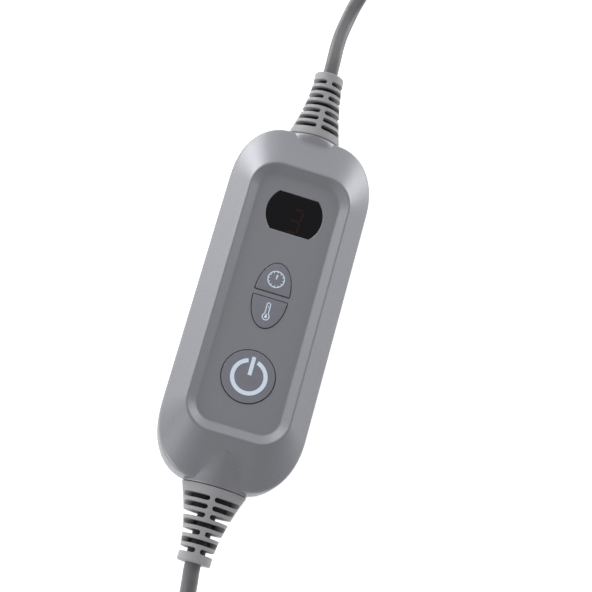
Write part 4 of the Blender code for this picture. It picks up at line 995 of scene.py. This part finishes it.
@dataclass
class StrainRelief:
    """Tapered sleeve with rows of slots between its base and a collar."""

    sizes: CaseSizes
    end: int
    bore: float
    node: str
    tip_half_width: float
    lean: float
    tip_half_height: float = 5.7 * MM
    taper_power: float = 1.6
    first_slot: float = 4.7 * MM
    pitch: float = 3.5 * MM
    slot: float = 1.95 * MM
    core: float = 3.75 * MM
    bridge: float = 1.15 * MM
    blind_depth: float = 3.2 * MM
    blind_reach: float = 0.955
    blind_rows: int = 2
    least_depth: float = 0.4 * MM
    slot_edge: float = 0.13 * MM
    base_inset: float = 0.2 * MM
    base_tuck: tuple[float, float] = (0.982, 0.974)
    collar_round: float = 0.55 * MM
    bore_room: float = 0.12 * MM
    bore_lip: float = 0.3 * MM
    bore_depth: float = 5.0 * MM
    slot_rows: tuple[Bridge, ...] = (Bridge.FACE, Bridge.FACE, Bridge.FACE, Bridge.SIDE, Bridge.FACE,
                                     Bridge.SIDE, Bridge.FACE)

    def _places(self) -> Array:
        """Distances from the base at which rings stand: even, and close together at each slot's edges."""
        even = np.arange(0.25 * MM, self.sizes.relief_length - self.collar_round, 0.42 * MM)
        centres = self.first_slot + self.pitch * np.arange(len(self.slot_rows))
        offsets = np.array([-0.2, -0.09, -0.045, 0.0, 0.045, 0.09, 0.2]) * MM
        sides = np.array([-1, 1])[None, :, None] * self.slot / 2
        edges = centres[:, None, None] + sides + offsets
        places = np.unique(np.concatenate([even, edges.ravel()]))
        return places[np.concatenate([[True], np.diff(places) > 0.03 * MM])]

    def _surface(self, places: Array, angles: Array) -> tuple[Array, Array, Array]:
        """Section points x, z at each distance, with the slots sunk, and how far they are sunk from 0 to 1.

        The outer size is tip + (base - tip)(1 - run / taper)^1.6. A slot is a band with round ends,
        d = hypot(max(e - |u|, 0), run - centre) - half, and the surface sinks to its floor where d < 0.

        Args:
            places: distances from the base, shape (n,).
            angles: parameter round the section, shape (m,).

        Returns:
            x, z and the sunk share, each of shape (n, m).
        """
        s, run = self.sizes, places[:, None]
        taper_run = self.first_slot + (len(self.slot_rows) - 1) * self.pitch + self.slot / 2
        share = np.clip(1 - run / taper_run, 0.0, 1.0) ** self.taper_power
        base_half_width = s.neck_half_width[self.end] - self.base_inset
        base_half_height = s.neck_half_height - self.base_inset
        half_width = self.tip_half_width + (base_half_width - self.tip_half_width) * share
        half_height = self.tip_half_height + (base_half_height - self.tip_half_height) * share
        x, z = superellipse(half_width, half_height, 2.0 - (2.0 - s.neck_power) * share, angles[None])
        size = np.hypot(x, z)
        scale, sunk = np.ones_like(size), np.zeros_like(size)
        half = self.slot / 2
        for row, kind in enumerate(self.slot_rows):
            centre = self.first_slot + row * self.pitch
            across = np.abs(x) if kind is Bridge.FACE else np.abs(z)
            beyond = np.maximum(self.bridge + half - across, 0.0)
            if row < self.blind_rows:
                beyond = np.maximum(beyond, across - self.blind_reach * half_width + half)
            gap = np.hypot(beyond, run - centre) - half
            depth = smoothstep(0.5 - gap / self.slot_edge)
            floor = np.minimum(self.core, size - self.least_depth)
            if row < self.blind_rows:
                floor = size - self.blind_depth
            scale = np.minimum(scale, 1 - depth * (1 - floor / size))
            sunk = np.maximum(sunk, depth)
        return x * scale + self.lean * (run / s.relief_length) ** 2, z * scale, sunk

    def build(self) -> bpy.types.Object:
        """Build the sleeve, from the flange that the shells grip to the bore that the cord leaves by."""
        s, angles = self.sizes, around(216)
        start = s.relief_start(self.end)
        tip, flange_end = start + s.relief_length, start - 2 * s.gap - s.wall
        places = self._places()
        x, z, sunk = self._surface(places, angles)
        body = np.stack([x, np.broadcast_to(start + places[:, None], x.shape), s.parting + z], -1)

        def plain(y: float, half_width: float, half_height: float, lean: float = 0.0) -> Array:
            """Plain elliptic ring, moved sideways by lean."""
            return s.upright(y, half_width, half_height, len(angles)) + (lean, 0.0, 0.0)

        quarter = np.linspace(0.0, math.pi / 2, 6)
        cuts, rises = self.collar_round * (1 - np.cos(quarter)), self.collar_round * np.sin(quarter)
        collar = [plain(tip - self.collar_round + rise, self.tip_half_width - cut,
                        self.tip_half_height - cut, self.lean) for cut, rise in zip(cuts, rises)]
        bore = self.bore / 2 + self.bore_room
        base = body[0].copy()
        base[:, 1] = start
        base[:, 0] *= self.base_tuck[0]
        base[:, 2] = s.parting + (base[:, 2] - s.parting) * self.base_tuck[1]
        grip = (s.mouth_half_width - s.gap, s.mouth_half_height - s.gap)
        root = rows(
            plain(flange_end - s.flange_depth, s.flange_half_width, s.flange_half_height),
            plain(flange_end, s.flange_half_width, s.flange_half_height),
            plain(flange_end, *grip), plain(start, *grip), base)
        stack = rows(
            root, body, *collar, plain(tip, bore + self.bore_lip, bore + self.bore_lip, self.lean),
            *(plain(tip - depth, bore, bore, self.lean) for depth in (self.bore_lip, self.bore_depth)))
        stack[..., 1] *= self.end
        sleeve = Draft().solid(stack).object(f"{self.node}_sleeve")
        # Painted shade: the recess attribute (sunk²) tells the finish how far to darken each slot floor
        # towards black.
        recess = np.zeros(stack.shape[:2])
        recess[len(root):len(root) + len(sunk)] = sunk ** 2
        sleeve.data.attributes.new("recess", "FLOAT", "POINT").data.foreach_set("value", recess.ravel())
        return finished(sleeve, RELIEF_PVC, CASE_BODY, [self.node], crease=50)


# ---------------------------------------------------------------- leads


@dataclass
class Hank:
    """Turns of a cord laid side by side and on each other round two folds.

    Its place is told in (x, u, z), with u the distance past the near fold's centre.

    Attributes:
        fold: radius of the innermost turn's line at a fold.
        pitch_across: distance between turns side by side.
        pitch_up: distance between layers.
        across: turns side by side.
        up: layers.
        run: length of the straight runs.
        start: distance of the near end from the case's middle.
        run_points: points of the line on a run.
        fold_points: points of the line on a fold.
        lane_change: share of a run that a change of lane takes.
        climb_from: share of a run at which a climb to the next layer starts.
        inward_from: share of a run at which a change to an inner lane starts.
        rise_from: share of the last fold at which the cord starts to rise to the run on top.
        tie_hump: half length of the hump over the tie.
    """

    fold: float
    pitch_across: float
    pitch_up: float
    across: int
    up: int
    run: float
    start: float
    run_points: int = 13
    fold_points: int = 25
    lane_change: float = 0.36
    climb_from: float = 0.33
    inward_from: float = 0.62
    rise_from: float = 0.45
    tie_hump: float = 9.0 * MM

    @property
    def inner(self) -> float:
        """Radius of the hole at a fold."""
        return self.fold - self.pitch_across / 2

    @property
    def outer(self) -> float:
        """Outer radius of a fold."""
        return self.inner + self.across * self.pitch_across

    @property
    def height(self) -> float:
        """Height of the wound turns."""
        return self.up * self.pitch_up

    @property
    def near(self) -> float:
        """Distance of the near fold's centre from the case's middle."""
        return self.start + self.outer

    def lanes(self) -> list[tuple[float, float]]:
        """Radius and height of each turn: inwards on one layer, outwards on the next, and so on."""
        found = []
        for layer in range(self.up):
            order = range(self.across)
            order = order if layer % 2 else reversed(order)
            found += [(self.fold + k * self.pitch_across, (layer + 0.5) * self.pitch_up) for k in order]
        return found

    def turns(self, entry: float, exit_x: float, exit_z: float, hump: float, hump_u: float) -> Array:
        """Line of all the turns, from the entry angle on the near fold to the run on top.

        A turn is a run out (x = r), a fold (x = r cos a, u = run + r sin a), a run back (x = -r) and a near
        fold (x = -r cos a, u = -r sin a). It changes its lane on the run back: outward turns first, then the
        climb, then inward turns, so that no turn cuts another.

        Args:
            entry: angle on the near fold where the cord comes in.
            exit_x: x of the run on top.
            exit_z: height of the run on top.
            hump: how far the cord rises over the tie.
            hump_u: place of the tie.

        Returns:
            The points (x, u, z).
        """
        lanes = self.lanes()
        out = np.linspace(0.0, 1.0, self.run_points)
        a = np.linspace(0.0, math.pi, self.fold_points)
        radius, height = lanes[0]
        entering = np.linspace(entry, math.pi, 10)
        line = [flat_ring(-radius * np.cos(entering), -radius * np.sin(entering), height)]
        for k, (radius, height) in enumerate(lanes):
            line.append(flat_ring(np.full_like(out, radius), self.run * out, height)[1:])
            last = k == len(lanes) - 1
            rise = smoothstep((a / math.pi - self.rise_from) / (1 - self.rise_from)) * last
            line.append(np.stack([radius * np.cos(a), self.run + radius * np.sin(a),
                                  height + (exit_z - height) * rise], -1)[1:])
            after = (-exit_x, exit_z) if last else lanes[k + 1]
            if last or after[0] > radius:
                begin = 0.0
            else:
                begin = self.climb_from if after[1] > height else self.inward_from
            share = smoothstep((out - begin) / self.lane_change)
            low = exit_z if last else height
            u = self.run * (1 - out)
            bump = hump * np.exp(-((u - hump_u) / self.tie_hump) ** 4) if last else 0.0
            line.append(np.stack([-(radius + (after[0] - radius) * share), u,
                                  low + (after[1] - low) * share + bump], -1)[1:])
            if not last:
                line.append(flat_ring(-after[0] * np.cos(a), -after[0] * np.sin(a), after[1])[1:])
        return np.concatenate(line)


@dataclass
class Lead:
    """A cord from its strain relief through a hank to the piece on its far end.

    Attributes:
        name: mains or heater.
        way: 1 towards the display end, -1 towards the other.
        width: larger size of the cord's section.
        thickness: smaller size of the section.
        hank: where its spare length is wound.
        route: points (x, y, z) from inside the strain relief to the hank, in millimetres.
        stated_length: real length of the cord; not used.
        end_axis: height of the axis of the piece on its far end.
        twist: distances from the case's middle where a flat cord starts and ends its turn on edge.
        end_loop: points (x, u, share of the rise to that axis) on top of the hank, in millimetres.
    """

    name: str
    way: int
    width: float
    thickness: float
    hank: Hank
    route: tuple[tuple[float, float, float], ...]
    stated_length: float
    end_axis: float
    twist: tuple[float, float] | None = None
    end_loop: tuple[tuple[float, float, float], ...] = (
        (-23.6, 8.0, 0.0), (-23.6, 0.0, 0.0), (-19.8, -11.8, 0.0), (-9.8, -19.0, 0.0), (2.6, -19.0, 0.0),
        (12.6, -11.8, 0.0), (16.4, 0.0, 0.1), (14.3, 9.0, 0.35), (8.2, 16.1, 0.7), (2.4, 23.3, 0.95),
        (0.1, 30.0, 1.0), (0.0, 33.5, 1.0))
    tie_place: float = 22.0 * MM
    tie_width: float = 10.0 * MM
    tie_thickness: float = 1.4 * MM
    seat: float = 0.3 * MM
    top_gap: float = 0.15 * MM
    lift: float = 0.02 * MM
    entry_angle: float = math.radians(135)
    line_step: float = 0.7 * MM
    ring_step: float = 1.6 * MM
    untwist_run: float = 38.0 * MM
    plug_grip: float = 6.0 * MM
    path: Array = field(init=False)
    roll: Array = field(init=False)

    def __post_init__(self) -> None:
        """Join the free route, the turns and the end loop into one line.

        A flat cord lies flat on the ground, stands on edge in the hank and lies flat again on top: its roll
        goes from 0 to 90 degrees and back. Its centre is never lower than hypot(w sin roll, t cos roll) / 2.
        """
        h, w, t = self.hank, self.width, self.thickness
        top = h.height + self.top_gap + t / 2
        hump = self.tie_thickness + self.seat
        turns = h.turns(self.entry_angle, self.end_loop[0][0] * MM, top, hump, self.tie_place)
        turns = turns * (1, self.way, 1) + (0.0, self.way * h.near, 0.0)
        loop = np.array([(x * MM, self.way * (h.near + y * MM), top + (self.end_axis - top) * rise)
                         for x, y, rise in self.end_loop])
        tail = loop[-1] + np.array([0.0, self.way * self.plug_grip, 0.0])
        free = np.array(self.route) * MM
        points = spline(np.concatenate([free, turns, loop[2:], tail[None]]), self.line_step)
        reach = reach_along(points)
        roll = np.zeros_like(reach) if self.twist is None else self._edgewise(points, reach)
        floor_height = np.hypot(w * np.sin(roll), t * np.cos(roll)) / 2
        points[:, 2] = np.maximum(points[:, 2], floor_height + self.lift)
        self.path, self.roll = resample(points, self.ring_step, roll)

    def _edgewise(self, points: Array, reach: Array) -> Array:
        """Roll of a flat cord: on edge from the end of the twist until it leaves the top layer."""
        begin, end = self.twist
        up = smoothstep((np.abs(points[:, 1]) - begin) / (end - begin))
        up = np.where(np.maximum.accumulate(up) > 0.999, 1.0, up)
        over = self._top_reach(points, reach)
        down = smoothstep((reach - over) / self.untwist_run)
        return np.where(reach < over, up, 1 - down) * math.pi / 2

    def _top_reach(self, points: Array, reach: Array) -> float:
        """Distance along the line where the cord, once it has been down, starts to leave the top layer."""
        hank, height = self.hank, points[:, 2]
        been_down = np.maximum.accumulate(height < hank.pitch_up)
        high = been_down & (height > (hank.up - 0.5) * hank.pitch_up + 0.4 * MM)
        return float(reach[np.argmax(high)])

    def _profile(self) -> Array:
        """Section of the cord: a superellipse, fuller than an ellipse on a flat cord."""
        power = 2.0 if self.width == self.thickness else 2.5
        return np.stack(superellipse(self.width / 2, self.thickness / 2, power, around(28)), -1)

    def cord(self) -> bpy.types.Object:
        """Build the cord as one closed tube."""
        rings = tube(self.path, self._profile(), self.roll)
        piece = Draft().solid(rings).object(f"{self.name}_cord")
        nodes = [f"{self.name}_lead", f"{self.name}_lead_hank", f"{self.name}_lead_end"]
        return finished(piece, CORD_PVC, CASE_BODY, nodes, crease=60)

    def tie(self) -> bpy.types.Object:
        """Build the strap over one run: a band with round corners, down to the surface on both sides.

        Its line is the superellipse arch |x / a|^9 + |z / b|^9 = 1 over the turns, with a their half width
        and b their height, both to the middle of the strap.
        """
        h, near = self.hank, self.seat + self.tie_thickness / 2
        half = (h.outer - h.inner) / 2 + near
        angles = np.linspace(0.0, math.pi, 61)
        x, z = superellipse(half, h.height + near, 9.0, angles)
        line = np.stack([x - (h.inner + h.outer) / 2, np.maximum(z, 0.0)], -1)
        tangent = unit(np.gradient(line, axis=0))
        normal = np.stack([tangent[:, 1], -tangent[:, 0]], -1)
        u, v = superellipse(self.tie_width / 2, self.tie_thickness / 2, 7.0, around(32))
        y = self.way * (h.near + self.tie_place) + np.broadcast_to(u, (len(line), len(u)))
        cross = line[:, None] + normal[:, None] * v[None, :, None]
        rings = np.stack([cross[..., 0], y, np.maximum(cross[..., 1], self.lift)], -1)
        piece = Draft().solid(rings).object(f"{self.name}_strap")
        return finished(piece, STRAP, CASE_BODY, [f"{self.name}_hank_tie"], crease=50)

    def declare(self, cord: bpy.types.Object, exit_y: float, height: float, far_end: str,
                pieces: Sequence[bpy.types.Object]) -> None:
        """Log how long the cord is.

        Args:
            cord: its piece; not used.
            exit_y: distance from the case's middle at which it comes out; not used.
            height: height at which it comes out; not used.
            far_end: what is on its far end; not used.
            pieces: the pieces that it carries; not used.
        """
        LOG.info("%s cord: %.0f mm long", self.name, reach_along(self.path)[-1] / MM)


@dataclass
class EndPiece:
    """Moulded plug or connector on a lead: a ribbed tail and a flat rounded body."""

    lead: Lead
    width: float
    thickness: float
    length: float
    tail: float = 16.0 * MM
    ribs: int = 4
    rib_depth: float = 0.45 * MM
    rib_half: float = 0.55 * MM
    rib_share: float = 0.14

    @property
    def rear(self) -> float:
        """Distance of its tail from the case's middle."""
        return self.lead.hank.near + self.lead.end_loop[-1][1] * MM + self.lead.seat

    @property
    def face(self) -> float:
        """Distance of its front face from the case's middle."""
        return self.rear + self.tail + self.length

    def section(self, place: float, half_width: float, half_height: float, power: float = 2.0,
                count: int = 96) -> Array:
        """Upright superellipse ring about the piece's axis."""
        lead = self.lead
        return upright_ring(lead.way * place, lead.end_axis, half_width, half_height, power, count)

    def body(self) -> bpy.types.Object:
        """Build the body from stations of (run, half width, half height, power), with a grooved tail.

        Each value runs from one station to the next as a + (b - a) t² (3 - 2t).
        """
        cord, w, h, tail = self.lead.width / 2, self.width / 2, self.thickness / 2, self.tail
        full = tail + self.length
        stations = np.array([
            (0.0, cord + 1.0 * MM, cord + 0.8 * MM, 2.0), (0.4 * MM, cord + 1.2 * MM, cord + MM, 2.0),
            (tail * 0.62, cord + 2.2 * MM, cord + 1.6 * MM, 2.2), (tail, w * 0.72, h * 0.88, 3.0),
            (tail + 5.0 * MM, w, h, 4.0), (full - 1.4 * MM, w, h, 4.0),
            (full - 0.4 * MM, w - 0.4 * MM, h - 0.4 * MM, 4.0), (full, w - 1.2 * MM, h - 1.2 * MM, 4.0)])
        runs = np.unique(np.concatenate([np.linspace(0.0, full, 90), stations[:, 0]]))
        i = np.clip(np.searchsorted(stations[:, 0], runs, side="right") - 1, 0, len(stations) - 2)
        t = smoothstep((runs - stations[i, 0]) / (stations[i + 1, 0] - stations[i, 0]))[:, None]
        values = stations[i, 1:] * (1 - t) + stations[i + 1, 1:] * t
        centres = tail * self.rib_share * np.arange(1, self.ribs + 1)[:, None]
        groove = self.rib_depth * np.exp(-((runs - centres) / self.rib_half) ** 2).sum(0)
        rings = np.stack([self.section(self.rear + r, a - g, b - g, p)
                          for r, (a, b, p), g in zip(runs, values, groove)])
        return Draft().solid(rings).object(f"{self.lead.name}_moulding")


@dataclass
class MainsPlug(EndPiece):
    """Flat two-pin plug."""

    pin: float = 4.0 * MM
    pin_length: float = 19.0 * MM
    pin_spacing: float = 18.6 * MM
    pin_root: float = 4.0 * MM
    pin_room: float = 0.12 * MM

    def build(self) -> list[bpy.types.Object]:
        """Build the plug and its two round-nosed pins."""
        plug, sockets, pins = self.body(), Draft(), []
        radius, root = self.pin / 2, self.pin_root
        nose = self.face + self.pin_length - radius
        stations = [(self.face - root + self.lead.seat, radius)]
        stations += [(nose + radius * math.sin(a), radius * math.cos(a) ** 0.6)
                     for a in np.linspace(0.0, math.pi / 2 * 0.97, 9)]
        hole = radius + self.pin_room
        for sx, side in ((1, "right"), (-1, "left")):
            offset = np.array([sx * self.pin_spacing / 2, 0.0, 0.0])
            sockets.solid(rows(*(self.section(self.face + d, hole, hole, 2.0, 48) + offset
                                 for d in (-root, root))))
            rings = np.stack([self.section(place, r, r, 2.0, 48) + offset for place, r in stations])
            pin = Draft().solid(rings).object(f"mains_pin_{side}")
            pins.append(finished(pin, PIN_METAL, CASE_BODY, [f"mains_plug_pin_{side}"], crease=50))
        carve(plug, "DIFFERENCE", sockets.object("sockets"))
        return [finished(plug, RELIEF_PVC, CASE_BODY, ["mains_plug"], crease=40)] + pins


@dataclass
class HeaterConnector(EndPiece):
    """Flat push-in connector with four contact holes in its front face."""

    contacts: int = 4
    contact: float = 3.2 * MM
    depth: float = 10.0 * MM
    pitch: float = 8.0 * MM

    def build(self) -> list[bpy.types.Object]:
        """Build the connector and cut its contact holes."""
        connector, holes, radius = self.body(), Draft(), self.contact / 2
        for k in range(self.contacts):
            offset = np.array([(k - (self.contacts - 1) / 2) * self.pitch, 0.0, 0.0])
            holes.solid(rows(*(self.section(self.face + d, radius, radius, 2.0, 32) + offset
                               for d in (-self.depth, self.depth))))
        carve(connector, "DIFFERENCE", holes.object("contact_holes"))
        return [finished(connector, RELIEF_PVC, CASE_BODY, ["heater_connector"], crease=40)]


# ---------------------------------------------------------------- inner parts and studio


@dataclass
class InnerParts:
    """CAD nodes that keep their own shape and only get a finish."""

    finishes: dict[str, Finish] = field(default_factory=lambda: {
        finish.slot: finish for finish in (
            BOARD_GREEN, MOULDED_BLACK, TERMINAL_GREEN, CERAMIC, VARISTOR_BLUE, CAPACITOR_YELLOW, TAPE_YELLOW,
            FIN_ALUMINIUM, CORE_BROWN, CORE_BLUE, CORE_WHITE, SCREW_ZINC, SHELL_PAINT, LENS_SMOKE, RELIEF_PVC,
            CORD_PVC, STRAP, PIN_METAL)})

    def dress(self, nodes: dict[str, bpy.types.Object], slots: dict[str, str]) -> int:
        """Give each CAD node the finish of its slot.

        Args:
            nodes: the CAD nodes by name.
            slots: material slot of each node.

        Returns:
            How many nodes got one.
        """
        for name, node in nodes.items():
            finish = BUTTON_SATIN if slots[name] == "button_plastic" else self.finishes[slots[name]]
            node.data.materials.clear()
            node.data.materials.append(finish.material())
        return len(nodes)


@dataclass
class Studio:
    """Pale floor, soft lights and the camera.

    Attributes:
        eye: place of the camera.
        right: the camera's own X axis.
        up: the camera's own Y axis.
        back: the camera's own Z axis, out of its back.
        lens: focal length, in millimetres.
        sensor: width of the sensor, in millimetres.
        clip: nearest and farthest distance that it sees.
        floor_half: half side of the floor.
        floor_drop: how far the floor lies below the underside.
        softboxes: name, place, size and power of each soft light.
        lit_point: where the soft lights point.
        sky: stops (sine of the height over the horizon, brightness).
        sky_tint: tint of the sky.
        brighter_towards: direction in which the sky gets brighter.
        darkest_and_brightest: strength of the sky against that direction and along it.
    """

    eye: tuple[float, float, float] = (-0.0361, -0.1576, 0.5780)
    right: tuple[float, float, float] = (0.95353, 0.25841, 0.15496)
    up: tuple[float, float, float] = (-0.29071, 0.92419, 0.24772)
    back: tuple[float, float, float] = (-0.07920, -0.28126, 0.95636)
    lens: float = 86.2
    sensor: float = 36.0
    clip: tuple[float, float] = (0.01, 50.0)
    floor_half: float = 3.0
    floor_drop: float = 0.02 * MM
    softboxes: tuple[tuple[str, tuple[float, float, float], tuple[float, float], float], ...] = (
        ("left_softbox", (-1.15, 0.75, 0.45), (0.9, 0.6), 4.0),
        ("back_left_softbox", (-1.0, 1.15, 0.30), (0.8, 0.5), 8.0),
        ("back_right_softbox", (1.0, 1.05, 0.30), (0.8, 0.4), 7.5),
        ("front_left_softbox", (-1.0, -1.1, 0.55), (0.7, 0.5), 6.0))
    lit_point: tuple[float, float, float] = (0.0, 0.0, 0.01)
    sky: tuple[tuple[float, float], ...] = ((0.0, 0.46), (0.3, 0.43), (0.6, 0.42), (0.85, 0.24))
    sky_tint: Colour = (0.99, 0.99, 1.01)
    brighter_towards: tuple[float, float, float] = (-0.45, 0.89, 0.0)
    darkest_and_brightest: tuple[float, float] = (0.95, 2.0)

    def camera(self) -> bpy.types.Object:
        """Set up the camera from its three axes."""
        data = bpy.data.cameras.new("camera")
        data.lens, data.sensor_width = self.lens, self.sensor
        data.clip_start, data.clip_end = self.clip
        camera = add_object("camera", data)
        axes = Matrix((self.right, self.up, self.back)).transposed()
        camera.matrix_world = Matrix.Translation(self.eye) @ axes.to_4x4()
        bpy.context.scene.camera = camera
        return camera

    def floor(self) -> None:
        """Lay the floor a hair below the underside, so that the two faces never coincide."""
        h, z = self.floor_half, -self.floor_drop
        mesh = bpy.data.meshes.new("floor")
        mesh.from_pydata([(-h, -h, z), (h, -h, z), (h, h, z), (-h, h, z)], [], [(0, 1, 2, 3)])
        mesh.materials.append(FLOOR_WHITE.material())
        add_object("floor", mesh)

    def lights(self) -> None:
        """Stand four large soft lights low round the case and turn them to it."""
        for name, place, size, power in self.softboxes:
            data = bpy.data.lights.new(name, "AREA")
            data.shape, data.size, data.size_y, data.energy = "RECTANGLE", *size, power
            light = add_object(name, data)
            light.location = place
            ahead = Vector(self.lit_point) - Vector(place)
            light.rotation_euler = ahead.to_track_quat("-Z", "Y").to_euler()

    def world(self) -> None:
        """Fill with a sky that dims overhead and gets brighter towards one side."""
        world = bpy.data.worlds.new("studio")
        world.use_nodes = True
        tree = world.node_tree
        background = tree.nodes["Background"]
        place = tree.nodes.new("ShaderNodeTexCoord").outputs["Generated"]
        split = tree.nodes.new("ShaderNodeSeparateXYZ")
        ramp = tree.nodes.new("ShaderNodeValToRGB")
        while len(ramp.color_ramp.elements) < len(self.sky):
            ramp.color_ramp.elements.new(1.0)
        for element, (where, level) in zip(ramp.color_ramp.elements, self.sky):
            element.position = where
            element.color = (*(level * tint for tint in self.sky_tint), 1.0)
        depth = tree.nodes.new("ShaderNodeMapRange")
        for socket, value in zip(("From Min", "From Max", "To Min", "To Max"),
                                 (-1.0, 1.0, *self.darkest_and_brightest)):
            depth.inputs[socket].default_value = value
        along = tree.nodes.new("ShaderNodeVectorMath")
        along.operation = "DOT_PRODUCT"
        along.inputs[1].default_value = self.brighter_towards
        tree.links.new(place, along.inputs[0])
        tree.links.new(place, split.inputs["Vector"])
        tree.links.new(split.outputs["Z"], ramp.inputs["Fac"])
        tree.links.new(along.outputs["Value"], depth.inputs["Value"])
        tree.links.new(ramp.outputs["Color"], background.inputs["Color"])
        tree.links.new(depth.outputs["Result"], background.inputs["Strength"])
        bpy.context.scene.world = world
        bpy.context.scene.view_settings.view_transform = "Standard"


MAINS_ROUTE = ((-0.85, 103.2, 13.0), (-0.95, 109.5, 13.0), (-1.1, 116.0, 12.4), (-1.2, 123.5, 10.2),
               (-0.8, 132.0, 6.6), (0.3, 141.0, 3.4), (1.9, 150.5, 2.1), (5.0, 160.5, 2.4),
               (10.0, 171.0, 3.15))
HEATER_ROUTE = ((0.0, -103.9, 13.0), (0.0, -109.8, 13.0), (0.7, -115.5, 12.5), (1.5, -121.5, 10.9),
                (2.7, -128.0, 7.9), (4.6, -134.5, 4.9), (7.1, -140.3, 3.5), (9.8, -144.9, 3.3))


def make_leads(sizes: CaseSizes) -> None:
    width, thickness, diameter = MAINS_CORD_WIDTH, MAINS_CORD_THICKNESS, HEATER_CORD
    mains_hank = Hank(fold=20.0 * MM, pitch_across=thickness, pitch_up=width, across=3, up=2,
                      run=60.0 * MM, start=171.8 * MM)
    mains = Lead("mains", 1, width, thickness, mains_hank, MAINS_ROUTE, stated_length=1.8,
                 end_axis=19.75 * MM, twist=(146.0 * MM, 172.0 * MM))
    heater_hank = Hank(fold=20.0 * MM, pitch_across=diameter, pitch_up=diameter, across=2, up=2,
                       run=33.0 * MM, start=146.0 * MM)
    heater = Lead("heater", -1, diameter, diameter, heater_hank, HEATER_ROUTE, stated_length=1.0,
                  end_axis=20.0 * MM)
    plug = MainsPlug(mains, width=35.3 * MM, thickness=13.7 * MM, length=36.0 * MM)
    connector = HeaterConnector(heater, width=38.0 * MM, thickness=13.0 * MM, length=28.0 * MM)
    for end, far_end in ((plug, "plug"), (connector, "connector")):
        lead = end.lead
        cord, exit_y = lead.cord(), sizes.relief_start(lead.way) + sizes.relief_length
        lead.declare(cord, exit_y, sizes.parting, far_end, [lead.tie()] + end.build())


def main() -> None:
    """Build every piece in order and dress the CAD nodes."""
    logging.basicConfig(level=logging.INFO, format="%(name)s %(message)s")
    sizes = CaseSizes()
    studio = Studio()
    studio.camera()
    make_leads(sizes)
    controls = FaceControls(sizes)
    case = Case(sizes)
    case.upper(controls.openings())
    case.lower()
    case.screws()
    controls.window()
    controls.buttons()
    controls.icons()
    StrainRelief(sizes, 1, MAINS_CORD_WIDTH, "mains_strain_relief", 6.4 * MM, lean=-0.9 * MM).build()
    StrainRelief(sizes, -1, HEATER_CORD, "heater_strain_relief", 6.85 * MM, lean=0.0).build()
    slots = {part["node"]: part["material_slot"] for part in frame["record"]["subparts"]}
    dressed = InnerParts().dress(frame["nodes"], slots)
    LOG.info("%d CAD nodes dressed", dressed)
    studio.floor()
    studio.lights()
    studio.world()


if __name__ == "__main__":
    main()
